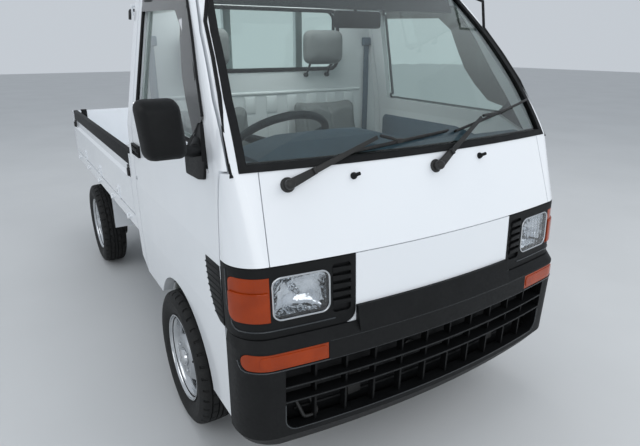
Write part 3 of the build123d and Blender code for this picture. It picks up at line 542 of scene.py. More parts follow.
def makeSail():  # the black corner piece ahead of the door window, flush with the bowed door
    slope = (sideAt(-1.12, 1.08).x - sideAt(-1.3, 1.08).x) / 0.18
    front = [Vector((sideAt(-1.3, p.z).x + 0.0085 + slope * (p.y + 1.3), p.y, p.z))
             for p in roundCorners([(0, y, z) for y, z in sailEdge], 0.008, 3)]
    return makeSlab("sail", front, (-0.027, 0, 0), 0.003)


def makeHandle():
    h = handleSizes
    skinX = max(sideAt(h["y"] + dy, h["z"] + dz).x for dy in (-0.05, 0, 0.05) for dz in (-0.023, 0, 0.023))
    rear, front = h["y"] - h["halfLong"], h["y"] + h["halfLong"]
    plate = makeBox("handlePlate", (skinX - 0.01, rear, h["z"] - h["halfTall"]),
                    (skinX + 0.0025, front, h["z"] + h["halfTall"]), 0.002)
    openEdit(plate)
    pickFaces(lambda place, normal: normal.x > 0.99)
    bpy.ops.mesh.inset(thickness=0.0025, depth=0)
    bpy.ops.mesh.inset(thickness=0.003, depth=-0.0075)
    closeEdit(False)
    pull = makeBox("handlePull", (skinX - 0.002, rear + 0.008, h["z"] - 0.002),
                   (skinX + 0.006, front - 0.02, h["z"] + 0.011), 0.003, 3)
    lockX, lockY, lockZ = sideAt(h["lockY"], h["lockZ"])
    lock = makeLathe("lock", [(0, 0.0005), (0, 0.009), (0.002, 0.009), (0.003, 0.0078), (0.0015, 0.0055),
                              (0.0015, 0.0005)], (lockX - 0.0005, lockY, lockZ), steps=24)
    slot = makeBox("keySlot", (lockX, lockY - 0.0008, lockZ - 0.0038),
                   (lockX + 0.0018, lockY + 0.0008, lockZ + 0.0038), 0.0003)
    return joinPieces("doorHandle", [plate, pull, slot]), lock


sail = makeSail()
handle, lock = makeHandle()
for piece, material in ((sail, blackPlastic), (handle, blackPlastic), (lock, brightMetal)):
    finishBoth(piece, "door_left", material, 35, "black_plastic")
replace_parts(sail, "door_fittings_left")


def windowRubber():  # the black channel round the door window
    route = [sideAt(p.y, p.z) for p in roundCorners([(0, y, z) for y, z in windowEdge], 0.022, 4)]
    return makeTube("windowRubber", route + [route[0]], 0.0075)


finishBoth(windowRubber(), "door_left", blackRubber, 50)

visorLine = [(-1.218, 1.345), (-1.142, 1.458), (-1.068, 1.556)]


def visorX(y, z):  # the visor follows the door's skin, kept off the glass's ends
    return sideAt(min(y, -0.45), min(z, 1.6)).x


def rainVisor():  # smoked plastic over the front and top of the window
    outer = [(-1.3, 1.235)] + visorLine + [(-1.016, 1.6), (-0.5, 1.606)]
    inner = [(-0.5, 1.558), (-0.89, 1.545), (-0.962, 1.495), (-1.002, 1.4), (-1.035, 1.335), (-1.09, 1.27),
             (-1.165, 1.205), (-1.255, 1.18)]
    piece = makeSlab("rainVisor", [Vector((0, y, z)) for y, z in outer + inner], (0.002, 0, 0))
    for vertex in piece.data.vertices:
        vertex.co.x = visorX(vertex.co.y, vertex.co.z) + 0.004 + vertex.co.x
    return piece


def visorEdge():  # the dark turned edge along the visor's front and top
    line = [(-1.294, 1.242)] + visorLine + [(-1.016, 1.599), (-0.5, 1.605)]
    return makeTube("visorEdge", [(visorX(y, z) + 0.0045, y, z) for y, z in line], 0.0038)


finishBoth(rainVisor(), "door_left", smokedPlastic, 60)
finishBoth(visorEdge(), "door_left", blackRubber, 60)

wedgeEdge = [(-1.312, 0.83), (-1.314, 0.78), (-1.324, 0.735), (-1.345, 0.69), (-1.372, 0.655), (-1.4, 0.643),
             (-1.429, 0.643), (-1.429, 0.834)]


def louvreWedge():  # black louvred plate low on the door's front edge
    def edgeAt(z):
        for (y0, z0), (y1, z1) in zip(wedgeEdge, wedgeEdge[1:6]):
            if z1 <= z <= z0:
                return y0 + (y1 - y0) * (z0 - z) / (z0 - z1)
    plate = makeSlab("plate", [sideAt(y, z, -0.0015) for y, z in wedgeEdge], (0.003, 0, 0), 0.001)
    slats = []
    for index in range(9):
        z = 0.662 + index * 0.0185
        start, end = sideAt(edgeAt(z) + 0.002, z, 0.001), sideAt(-1.427, z + 0.006, 0.001)
        slats.append(makeTube("slat", [start, (start + end) / 2, end], 0.0028, 1))
    skinX = sideAt(-1.429, 0.74).x
    edge = startBox("edge", (skinX - 0.036, -1.4345, 0.643), (skinX + 0.0005, -1.4305, 0.836))  # wraps the door's edge
    return joinPieces("louvreWedge", [plate, edge] + slats)


finishBoth(louvreWedge(), "door_left", blackPlastic, 35)
print("doors dressed")


# Wipers: domed pivot, cast shoulder, tapered arm, sprung bridges and rubber
wiperTable = {
    # pivot x, clip x and z, blade from and to
    "wiperRight": (-0.508, (-0.192, 1.158), (-0.343, 1.126), (0.098, 1.16)),
    "wiperLeft": (0.012, (0.268, 1.184), (0.134, 1.156), (0.6, 1.226)),
}
wiperSizes = {"pivotZ": 1.066, "armLift": 0.034, "backLift": 0.0145, "crownLift": 0.024, "steps": 12,
              # of the blade's steps from and to, and the height of each sprung bridge
              "bridges": ((1, 11, 0.024), (0, 4, 0.018), (8, 12, 0.018))}


def flatBar(name, route, widths, thick, up):  # a strip of changing width along a route
    left, right = [], []
    for index, point in enumerate(route):
        ahead = route[min(index + 1, len(route) - 1)] - route[max(index - 1, 0)]
        across = ahead.cross(up).normalized() * widths[index] / 2
        left.append(point + across)
        right.append(point - across)
    return makeSlab(name, left + right[::-1], up * thick, 0.0012)


def footing(x, z, skin=cabSkin):  # a point of a front skin and the way it faces there
    base = frontAt(x, z, skin=skin)
    return base, (frontAt(x, z, 0.01, skin) - base).normalized()


def makeWiper(name, pivotX, clip, start, end):
    w = wiperSizes
    base, normal = footing(pivotX, w["pivotZ"])
    shoulder, clipPoint = base + normal * 0.026, frontAt(*clip, w["armLift"])
    foot = makeLathe("foot", [(-0.004, 0.0005), (-0.004, 0.0215), (0.003, 0.0215), (0.005, 0.019), (0.006, 0.013),
                              (0.018, 0.0115), (0.018, 0.0005)], base, normal, 32)
    dome = makeLathe("dome", [(0.014, 0.0005), (0.014, 0.0145), (0.026, 0.0145), (0.031, 0.012), (0.0335, 0.0075),
                              (0.034, 0.0005)], base, normal, 32)
    run = clipPoint - shoulder
    casting, arm = [flatBar(label, [shoulder + run * share for share in shares], widths, thick, -normal)
                    for label, shares, widths, thick in (
                        ("casting", (0, 0.1, 0.27), (0.028, 0.025, 0.02), 0.01),
                        ("arm", (0.24, 0.6, 0.97), (0.018, 0.015, 0.012), 0.006))]
    pin, half = shoulder + run * 0.255, run.cross(normal).normalized() * 0.009
    hinge = softEdges(startRod("hinge", pin - half, pin + half, 0.006, 20), 0.001)
    blade = [[a + (b - a) * i / w["steps"] for a, b in zip(start, end)] for i in range(w["steps"] + 1)]
    rubber = makeTube(name + ".rubber", [frontAt(*point, 0.007) for point in blade], 0.0045)
    backbone = makeTube("backbone", [frontAt(*point, 0.0135) for point in blade], 0.0042)
    bridges = []
    for low, high, top in w["bridges"]:
        centre = (low + high) / 2
        arc = [frontAt(*blade[i], w["backLift"] + (top - w["backLift"]) * (1 - ((i - centre) / (high - centre)) ** 2))
               for i in range(low, high + 1)]
        bridges.append(makeTube("bridge", arc, 0.0038))
    crown, corner = frontAt(*blade[w["steps"] // 2], w["crownLift"]), Vector((0.012, 0.006, 0.007))
    link = makeTube("link", [clipPoint, (clipPoint + crown) / 2 + normal * 0.004, crown], 0.005, 3)
    block = makeBox("block", crown - corner, crown + corner, 0.002)
    piece = joinPieces(name, [foot, dome, casting, arm, hinge, backbone, link, block] + bridges)
    finishPiece(rubber, "truck", blackRubber, 50)
    return finishPiece(piece, "truck", blackSteel)


wiperPieces = [makeWiper(name, *row) for name, row in wiperTable.items()]
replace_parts(wiperPieces[0], "wipers")


def makeNozzle(name, x, z):  # washer jet: round foot and a small forward head
    base, normal = footing(x, z)
    foot = makeLathe("foot", [(-0.001, 0.0004), (-0.001, 0.0105), (0.004, 0.0105), (0.009, 0.0075), (0.012, 0.006),
                              (0.012, 0.0004)], base, normal, 24)
    head = softEdges(startRod("head", base + normal * 0.01 - Vector((0.004, 0, 0)),
                              base + normal * 0.014 + Vector((0.016, 0, 0.004)), 0.0055, 20), 0.0015)
    return finishPiece(joinPieces(name, [foot, head]), "truck", blackPlastic)


makeNozzle("nozzleRight", -0.3, 1.07)
makeNozzle("nozzleLeft", 0.222, 1.075)
print("wipers made")


# Headlamps: lens, bowl and bulb in the lamp's opening, laid on the surround's own face
lampSizes = {"x": 0.509, "z": 0.75875, "wide": 0.0865, "tall": 0.06475, "corner": 0.026, "depth": 0.06,
             "coverLow": 0.68, "coverHigh": 0.838}
cornerSizes = {"x": 0.589, "y": -1.459, "radius": 0.105}  # the rounded front corner in plan


def cornerAt(degrees, z, lift=0.0, skin=cowlSkin):  # on the front corner: 0 faces forward, 90 faces the side
    turn = math.radians(degrees)
    out = Vector((math.sin(turn), -math.cos(turn), 0))
    start = Vector((cornerSizes["x"], cornerSizes["y"], z))
    hit = skin.ray_cast(start + out * 0.5, -out)
    return (hit[0] if hit[0] else start + out * cornerSizes["radius"]) + out * lift


def coverAt(x, z):  # the surround's face carried across the lamp's opening
    s = lampSizes
    low, high = [frontAt(x, s[edge], skin=cowlSkin).y for edge in ("coverLow", "coverHigh")]
    return Vector((x, low + (high - low) * (z - s["coverLow"]) / (s["coverHigh"] - s["coverLow"]), z))


def drawnIn(u, v, halfX, halfZ, corner):  # a point of the square, its corners drawn in to arcs
    x, z = u * halfX, v * halfZ
    overX, overZ = abs(x) - (halfX - corner), abs(z) - (halfZ - corner)
    if overX > 0 and overZ > 0:
        reach, length = max(overX, overZ), math.hypot(overX, overZ)
        x = math.copysign(halfX - corner + overX / length * reach, x)
        z = math.copysign(halfZ - corner + overZ / length * reach, z)
    return x, z


def startGrid(name, across, up, place):  # a sheet laid out by place(u, v), each from -1 to 1
    piece = startShape(name, bpy.ops.mesh.primitive_grid_add, x_subdivisions=across, y_subdivisions=up, size=1)
    for vertex in piece.data.vertices:
        vertex.co = place(vertex.co.x * 2, vertex.co.y * 2)
    return piece


def wrapGrid(name, across, up, place, thick):  # a sheet laid on a skin and thickened outwards
    piece = useModifier(startGrid(name, across, up, place), "SOLIDIFY", thickness=thick, offset=1)
    return softEdges(piece, thick * 0.4, 2, 50)


def lampSheet(name, across, up, edge, depth):  # a sheet over the lamp's opening, set back by depth(u, v)
    s = lampSizes

    def place(u, v):
        x, z = drawnIn(u, v, s["wide"] - edge, s["tall"] - edge, s["corner"])
        return coverAt(s["x"] + x, s["z"] + z) + Vector((0, depth(x / s["wide"], z / s["tall"]), 0))
    return startGrid(name, across, up, place)


def makeHeadlamp():
    s = lampSizes

    def crown(u, v):  # the lens is a touch crowned
        return -0.0045 * (1 - max(abs(u), abs(v)) ** 4)

    def dish(u, v):  # the bowl is dished, with steep end walls
        fall = max(0.0, 1 - max(abs(u), abs(v)) ** 6) ** 0.5
        return 0.006 + s["depth"] * fall * (1 - 0.45 * min(1.0, u * u + 0.6 * v * v))
    lens = useModifier(lampSheet("lampLens", 22, 14, 0.001, crown), "SOLIDIFY", thickness=0.0035, offset=-1)
    bowl = useModifier(lampSheet("lampBowl", 36, 26, 0.0015, dish), "SOLIDIFY", thickness=0.0015, offset=1)
    centre = (s["x"], frontAt(s["x"], 0.76, skin=cowlSkin).y + 0.05, s["z"])
    bulb = makeLathe("bulb", [(-0.03, 0.0003), (-0.029, 0.006), (-0.026, 0.0085), (0.004, 0.0085), (0.006, 0.013),
                              (0.012, 0.013), (0.012, 0.0003)], centre, (0, 1, 0), 24)
    return lens, bowl, bulb


lens, bowl, bulb = makeHeadlamp()
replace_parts(finishBoth(lens, "truck", flutedGlass), "headlamps")
finishBoth(bowl, "truck", reflector)
finishBoth(bulb, "truck", clearLens)


def lampRim():  # the plated edge of the lamp's glass
    s = lampSizes
    corners = [(s["x"] + u * s["wide"], 0, s["z"] + v * s["tall"]) for u, v in ((-1, -1), (1, -1), (1, 1), (-1, 1))]
    route = [coverAt(p.x, p.z) - Vector((0, 0.001, 0)) for p in roundCorners(corners, s["corner"], 7)]
    return makeTube("lampRim", route + [route[0]], 0.0034)


finishBoth(lampRim(), "truck", brightMetal, 50, "clear_lens")

turnSizes = {"from": 9, "to": 77, "low": 0.6935, "ledge": 0.784, "corner": 0.03, "square": 0.004, "proud": 0.006}
markerSizes = {"x": 0.548, "z": 0.5775, "half": 0.1, "tall": 0.0195, "corner": 0.012, "proud": 0.002,
               "screwZ": 0.583, "screws": (0.452, 0.64)}


def turnStep():  # the lower part of the side lamp stands proud of the upper
    t, radius = turnSizes, cornerSizes["radius"]
    half = math.radians(t["to"] - t["from"]) / 2 * radius

    def place(u, v):
        run, z = drawnIn(u, v, half, (t["ledge"] - t["low"]) / 2, t["corner"] if u > 0 and v < 0 else t["square"])
        return cornerAt((t["from"] + t["to"]) / 2 + math.degrees(run / radius), (t["ledge"] + t["low"]) / 2 + z)
    return wrapGrid("turnStep", 30, 14, place, t["proud"])


def markerFace():  # the raised face of the low amber lamp
    m = markerSizes

    def place(u, v):
        x, z = drawnIn(u, v, m["half"], m["tall"], m["corner"])
        return frontAt(m["x"] + x, m["z"] + z, skin=bumperSkin)
    return wrapGrid("markerFace", 34, 8, place, m["proud"])


def lipLine(name, places, z, turns, lift, skin, radius):  # a bead along the front and on round its corner
    route = [frontAt(x, z, lift, skin) for x in places] + [cornerAt(*turn, lift, skin) for turn in turns]
    return makeTube(name, route, radius)


# the surround's raised lower edge turns up behind the side lamp, the bumper's bead ends under the low lamp; both are
# drawn in the lighter black that paints their highlight
lipTurns = [(8, 0.664), (18, 0.664), (28, 0.664), (38, 0.664), (48, 0.664), (58, 0.664), (66, 0.668), (73, 0.68),
            (77, 0.7), (84, 0.73), (84, 0.77), (84, 0.81), (84, 0.845)]
beadTurns = [(8, 0.5465), (18, 0.5465), (28, 0.5465), (38, 0.5465), (46, 0.5465), (52, 0.551), (56, 0.562),
             (58, 0.578)]
finishBoth(turnStep(), "truck", amberLens)
finishBoth(lipLine("bezelLip", (0.405, 0.44, 0.48, 0.52, 0.56, 0.59), 0.664, lipTurns, 0.0005, cowlSkin, 0.0026),
           "truck", highlightEdgePlastic, 50)
marker = markerFace()
bead = lipLine("markerBead", (0.436, 0.48, 0.52, 0.56, 0.59), 0.5465, beadTurns, 0.0004, bumperSkin, 0.0022)
finishBoth(marker, "truck", amberLens)
finishBoth(bead, "truck", highlightEdgePlastic, 50)


def bezelLouvres():  # five short wedges between the headlamp and the surround's inner edge
    wedges = []
    for index in range(5):
        z = 0.704 + index * 0.026
        corners = [frontAt(x, z + dz, skin=cowlSkin)
                   for x, dz in ((0.352, 0), (0.412, 0), (0.412, 0.017), (0.352, 0.017))]
        wedge = makeSlab("wedge", [corner + Vector((0, 0.004, 0)) for corner in corners], (0, -0.006, 0))
        for vertex in wedge.data.vertices:
            if vertex.co.y < corners[0].y + 0.001 and vertex.co.z > z + 0.01:
                vertex.co.y -= 0.006
        wedges.append(softEdges(wedge, 0.0012))
    return joinPieces("bezelLouvres", wedges)


def markerScrews():
    profile = [(-0.002, 0.0004), (-0.002, 0.0036), (0.0008, 0.0036), (0.0014, 0.0022), (0.0014, 0.0004)]
    return joinPieces("markerScrews", [makeLathe("screw", profile, *footing(x, markerSizes["screwZ"], bumperSkin), 16)
                                       for x in markerSizes["screws"]])


finishBoth(bezelLouvres(), "truck", blackPlastic, 35)
finishBoth(markerScrews(), "truck", bareSteel)

grilleSizes = {
    # height of each bead and how far it runs to each side
    "beads": ((0.607, 0.436), (0.5445, 0.462), (0.4815, 0.577), (0.4285, 0.577)),
    "half": 0.578, "high": 0.42, "low": 0.3245, "corner": 0.038,
    "shadeBackingHalf": 0.57, "shadeBackingLow": 0.3, "shadeBackingHigh": 0.56, "shadeBackingFront": -1.578, "shadeBackingBow": 3.73,
}


def bumperStrips():  # beads on the edges of the thin blades and round the lowest opening, in the lighter black that paints their highlight
    g = grilleSizes
    pieces = []
    for z, reach in g["beads"]:
        route = [frontAt(reach * step / 24, z, -0.0016, bumperSkin) for step in range(-24, 25)]
        pieces.append(makeTube("bead", route, 0.0018))
    half = [(g["half"], g["high"])]
    for step in range(7):
        turn = math.pi / 2 * (1 - step / 6)
        half.append((g["half"] - g["corner"] * (1 - math.sin(turn)), g["low"] + g["corner"] * (1 - math.cos(turn))))
    endX, endZ = half[-1]
    line = half + [(endX * step / 20, endZ) for step in range(19, -20, -1)] + [(-x, z) for x, z in reversed(half)]
    pieces.append(makeTube("bead", [frontAt(x, z, -0.0018, bumperSkin) for x, z in line], 0.0024))
    return joinPieces("bumperStrips", pieces)


def grilleShadeBacking():  # a black backing that closes the view behind the openings, painted shade for the dark space behind the grille
    g = grilleSizes
    front = []
    for step in range(-12, 13):
        x = g["shadeBackingHalf"] * step / 12
        front.append((x, g["shadeBackingFront"] + g["shadeBackingBow"] - math.sqrt(g["shadeBackingBow"] ** 2 - x ** 2)))
    outline = [(x, y, g["shadeBackingLow"]) for x, y in front] + [(x, y + 0.004, g["shadeBackingLow"]) for x, y in reversed(front)]
    plate = makeSlab("grilleShadeBacking", outline, (0, 0, g["shadeBackingHigh"] - g["shadeBackingLow"]), 0.001)
    swages = [makeTube("swage", [(x, y - 0.001, z) for x, y in front[1:-1]], 0.006) for z in (0.352, 0.455, 0.513)]
    return joinPieces("grilleShadeBacking", [plate] + swages)


def grilleFittings():  # between the blades: a plated bracket with a screw, the horn's dish and the bent tow loop
    bracket = makeBox("bracket", (-0.366, -1.594, 0.4165), (-0.292, -1.586, 0.4235), 0.0015)
    screw = makeLathe("screw", [(0, 0.0005), (0, 0.009), (0.004, 0.009), (0.006, 0.006), (0.006, 0.0005)],
                      (0.203, -1.584, 0.419), (0, -1, 0), 20)
    horn = makeLathe("horn", [(0, 0.0005), (0, 0.026), (0.004, 0.0265), (0.006, 0.024), (0.003, 0.018),
                              (0.008, 0.008), (0.009, 0.0005)], (-0.098, -1.583, 0.457), (0, -1, 0), 32)
    route = roundCorners([(-0.527, -1.555, 0.402), (-0.505, -1.577, 0.335), (-0.456, -1.583, 0.335),
                          (-0.482, -1.562, 0.402)], 0.012, 4)
    return joinPieces("grilleBracket", [bracket, screw]), horn, makeTube("towLoop", route[3:-3], 0.0062, 3)


finishPiece(bumperStrips(), "truck", highlightEdgePlastic)
finishPiece(grilleShadeBacking(), "truck", blackPlastic, 35)
bracket, horn, loop = grilleFittings()
finishPiece(bracket, "truck", brightMetal, 40, "bare_steel")
finishPiece(horn, "truck", blackSteel)
finishPiece(loop, "truck", blackSteel, 50)

coreSizes = {"fins": 40, "finHalf": 0.0015, "tank": 0.02, "rail": 0.015}


def radiatorCore():  # fins and tanks over the plain core
    c = coreSizes
    (x0, y0, z0), (x1, y1, z1) = [corner - Vector((middle, 0, 0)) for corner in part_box("radiator")]
    low, high, back = z0 + c["rail"], z1 - c["rail"], (y0 + y1) / 2
    fin = startBox("fin", (x0 + c["tank"] - c["finHalf"], y0, low), (x0 + c["tank"] + c["finHalf"], y1, high))
    pitch = (x1 - x0 - 2 * c["tank"]) / (c["fins"] - 1)
    fins = [fin] + [copyPiece(fin, "fin", (pitch * index, 0, 0)) for index in range(1, c["fins"])]
    tanks = [makeBox("tank", (x, y0, z0), (x + c["tank"], y1, z1), 0.004) for x in (x0, x1 - c["tank"])]
    rails = [makeBox("rail", (x0, y0, z), (x1, y1, z + c["rail"]), 0.002) for z in (z0, high)]
    core = startBox("core", (x0 + c["tank"], back, low), (x1 - c["tank"], back + 0.002, high))
    return joinPieces("radiatorFins", tanks + rails + fins + [core])


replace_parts(finishPiece(radiatorCore(), "truck", alloyMetal), "radiator")


def doorSeal():  # black rubber down the seam between the screen pillar and the door
    route = []
    for z, x in ((1.095, 0.6315), (1.2, 0.6195), (1.3, 0.6035), (1.4, 0.585), (1.5, 0.5675), (1.6, 0.55),
                 (1.655, 0.54)):
        outer, inner = frontAt(x + 0.012, z), frontAt(x + 0.006, z)  # the pillar's strip, carried on over the seam
        route.append(outer + (outer - inner) * 2 + Vector((0, 0.0042, 0)))
    return makeTube("doorSeal", route, 0.006)


finishBoth(doorSeal(), "truck", blackRubber, 50)
print("front dressed")


# Load bed: guards, latches, hinge straps and rope hooks
gateSizes = {"top": 0.966, "outer": 0.68, "inner": 0.66, "guardLow": 0.906, "front": -0.2885, "rear": 1.597,
             "lip": 0.0035, "hooks": 5, "hookFirst": -0.16, "hookPitch": 0.42}


def gateGuard():  # black cap over the gate's top edge
    g = gateSizes
    x0, x1, top = g["outer"], g["inner"], g["top"]
    section = [(x0, g["guardLow"]), (x0 + g["lip"], g["guardLow"]), (x0 + g["lip"], top + 0.006),
               (x1 - g["lip"], top + 0.006), (x1 - g["lip"], top - 0.02), (x1, top - 0.02), (x1, top + 0.0015),
               (x0, top + 0.0015)]
    return makeSlab("gateGuard", [(x, g["front"] + 0.002, z) for x, z in section],
                    (0, g["rear"] - g["front"] - 0.004, 0), 0.0015)


def gateLatches():  # a plate and a bar at each end of the gate
    x, y = gateSizes["outer"], gateSizes["front"]
    plate = makeBox("latchPlate", (x, y + 0.005, 0.846), (x + 0.008, y + 0.068, 0.903), 0.002)
    bar = makeBox("latchBar", (x + 0.004, y + 0.014, 0.856), (x + 0.018, y + 0.034, 0.895), 0.004)
    return repeatPiece("gateLatches", joinPieces("latch", [plate, bar]), [(0, gateSizes["rear"] - y - 0.073, 0)])


def gateStraps():  # a hinge strap with two bolts, at three places
    y = 0.06
    strap = makeBox("strap", (0.688, y - 0.026, 0.678), (0.6965, y + 0.026, 0.735), 0.002)
    bolts = [softEdges(startRod("bolt", (0.695, y, z), (0.7005, y, z), 0.006, 6), 0.0012) for z in (0.696, 0.722)]
    return repeatPiece("gateStraps", joinPieces("strap", [strap] + bolts), [(0, 0.56, 0), (0, 1.12, 0)])


def gateRibs():  # pressed swages along the inner face
    rib = makeBox("rib", (0.6565, -0.25, 0.74), (0.662, 1.56, 0.77), 0.0025, 3)
    return repeatPiece("gateRibs", rib, [(0, 0, 0.09)])


def ropeHooks():
    y = gateSizes["hookFirst"]
    route = curvePoints([(0.684, y - 0.025, 0.64), (0.697, y - 0.022, 0.632), (0.699, y, 0.618),
                         (0.697, y + 0.022, 0.632), (0.684, y + 0.025, 0.64)], 4)
    return repeatPiece("ropeHooks", makeTube("hook", route, 0.004),
                       [(0, gateSizes["hookPitch"] * index, 0) for index in range(1, gateSizes["hooks"])])


for make, body, material in ((gateGuard, "gate_left", blackRubber), (gateLatches, "gate_left", blackSteel),
                             (gateStraps, "gate_left", whitePaint), (gateRibs, "gate_left", whitePaint),
                             (ropeHooks, "truck", whitePaint)):
    finishBoth(make(), body, material, 35)


def tailGateParts():  # rubber corners, hinge straps and latch plates of the tail gate
    y = 1.6395
    cap = [(y - 0.01, 0.895), (y - 0.0065, 0.895), (y - 0.0065, 0.972), (y - 0.0335, 0.972), (y - 0.0335, 0.9),
           (y - 0.03, 0.9), (y - 0.03, 0.9675), (y - 0.01, 0.9675)]
    corner = makeSlab("corner", [(-0.63, back, z) for back, z in cap], (0.04, 0, 0), 0.0015)
    strap = makeBox("strap", (-0.476, y - 0.002, 0.678), (-0.424, y + 0.0065, 0.735), 0.002)
    latch = makeBox("latch", (-0.63, y - 0.011, 0.85), (-0.57, y - 0.004, 0.9), 0.002)
    return (repeatPiece("tailCorners", corner, [(1.22, 0, 0)]),
            repeatPiece("tailStraps", strap, [(0.45, 0, 0), (0.9, 0, 0)]),
            repeatPiece("tailLatches", latch, [(1.2, 0, 0)]))


for piece, material in zip(tailGateParts(), (blackRubber, whitePaint, blackSteel)):
    finishPiece(piece, "tail_gate", material, 35)

# the load floor's pressed ribs
rib = makeBox("rib", (-0.57, -0.27, 0.669), (-0.53, 1.57, 0.6725), 0.0017)
finishPiece(repeatPiece("bedRibs", rib, [(0.11 * index, 0, 0) for index in range(1, 11)]), "truck", whitePaint, 35)

# Tail lamps: clear, amber and red parts side by side on the black housing
lenses = [makeBox(name, (low, 1.6335, 0.524), (high, 1.6435, 0.596), 0.003, 3) for name, low, high in (
    ("reverseLens", 0.474, 0.512), ("tailTurnLens", 0.514, 0.566), ("brakeLens", 0.568, 0.636))]
housing = makeBox("tailHousing", (0.47, 1.5775, 0.52), (0.64, 1.6345, 0.6), 0.005, 3)
bracket = makeBox("tailBracket", (0.53, 1.5995, 0.598), (0.58, 1.6175, 0.611), 0.002)
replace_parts(finishBoth(joinPieces("tailHousing", [housing, bracket]), "truck", blackPlastic, 35), "tail_lamps")
for lens, material in zip(lenses, (clearLens, amberLens, redLens)):
    finishBoth(lens, "truck", material, 35)

# a blank plate on its stay
plate = makeBox("rearPlate", (-0.165, 1.628, 0.505), (0.165, 1.6305, 0.67), 0.002)
stay = makeBox("rearPlateStay", (-0.03, 1.605, 0.56), (0.03, 1.6285, 0.612), 0.002)
finishPiece(plate, "truck", platePaint, 35)
finishPiece(stay, "truck", blackSteel, 35)
print("bed dressed")


# Cabin: seats, steering wheel and the small things seen through the glass
seatSizes = {"driver": -0.345, "passenger": 0.255, "half": 0.43 / 2, "shrink": 0.011, "voxel": 0.009, "cap": 0.022,
             "pressure": 4, "frames": 20, "shoulders": 1.1, "channel": 0.14, "stitch": 0.008, "pull": 0.006,
             "postSplay": 1.03, "pipingIn": 0.03}


def stuffPad(piece):  # swells the closed shape as foam under a tight cover does, by no more than the cap
    s = seatSizes
    useModifier(piece, "REMESH", mode="VOXEL", voxel_size=s["voxel"])
    rest = [vertex.co.copy() for vertex in piece.data.vertices]
    activate(piece)
    cloth = piece.modifiers.new("cloth", "CLOTH")
    cloth.settings.use_pressure = True
    cloth.settings.uniform_pressure_force = s["pressure"]
    cloth.settings.effector_weights.gravity = 0
    for step in range(s["frames"]):
        bpy.context.scene.frame_set(step + 1)
    bpy.ops.object.modifier_apply(modifier=cloth.name)
    bpy.context.scene.frame_set(1)
    for vertex, start in zip(piece.data.vertices, rest):
        move = vertex.co - start
        if move.length > s["cap"]:
            vertex.co = start + move.normalized() * s["cap"]
    return useModifier(piece, "SUBSURF", levels=1, render_levels=1)


def padBase(name, low, high, rounding):
    s = seatSizes["shrink"]
    low, high = Vector(low) + Vector((s, s, 0.004)), Vector(high) - Vector((s, s, s))
    return softEdges(startBox(name, low, high), rounding, 4)


def seatBack(name, x):
    half = seatSizes["half"] - seatSizes["shrink"]
    profile = [(-0.606, 0.667), (-0.492, 0.667), (-0.428, 1.178), (-0.496, 1.178)]
    back = makeSlab(name, [(x - half, y, z) for y, z in profile], (2 * half, 0, 0))
    for vertex in back.data.vertices:  # the shoulders draw in
        if vertex.co.z > seatSizes["shoulders"]:
            vertex.co.x = x + (vertex.co.x - x) * 0.9
    return softEdges(back, 0.028, 4, 25)


def sewChannels(piece, x, test):  # lines of stitching that pull the cover in
    s = seatSizes
    for vertex in piece.data.vertices:
        if test(vertex.co) and abs(vertex.co.x - x) < s["half"] * 0.8:
            offset = abs((vertex.co.x - x + s["channel"] * 10.5) % s["channel"] - s["channel"] / 2)
            near = max(0.0, 1 - offset / s["stitch"])
            vertex.co -= vertex.normal * s["pull"] * near ** 2


def headrestPosts(name, x):  # the rests stand off the back wall
    posts = []
    for top in (-0.06, 0.06):
        foot = x + top * seatSizes["postSplay"]
        posts.append(startRod("post", (x + top, -0.452, 1.37), (foot, -0.398, 1.292), 0.0055, 16))
        posts.append(softEdges(startRod("foot", (foot, -0.402, 1.29), (foot, -0.38, 1.29), 0.011, 20), 0.003))
    return joinPieces(name, posts)


for seat in ("driver", "passenger"):
    x, half = seatSizes[seat], seatSizes["half"]
    cushion = stuffPad(padBase(f"{seat}Cushion", (x - half, -1.085, 0.661), (x + half, -0.616, 0.778), 0.03))
    sewChannels(cushion, x, lambda place: place.z > 0.75)
    back = stuffPad(seatBack(f"{seat}Back", x))
    sewChannels(back, x, lambda place: place.y < -0.5)
    rest = stuffPad(padBase(f"{seat}Headrest", (x - 0.1195, -0.505, 1.337), (x + 0.1195, -0.405, 1.513), 0.042))
    for piece in (cushion, back, rest):
        finishPiece(piece, "truck", seatVinyl, 60)
    if seat == "driver":
        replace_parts(cushion, "seats")
    finishPiece(headrestPosts(f"{seat}Posts", x), "truck", blackSteel, 40, "bare_steel")
    line = [(x + share * (half - seatSizes["pipingIn"]), -1.0735, 0.7745) for share in (-1, -0.5, 0, 0.5, 1)]
    piping = repeatPiece(f"{seat}Piping", makeTube("piping", line, 0.003), [(0, 1.0735 - 0.63, 0)])
    finishPiece(piping, "truck", blackRubber, 50, "seat_vinyl")
print("seats made")

steering = {"centre": (-0.262, -0.975, 1.085), "tilt": 38, "radius": 0.185, "grip": 0.0145, "spokes": (-20, 200)}


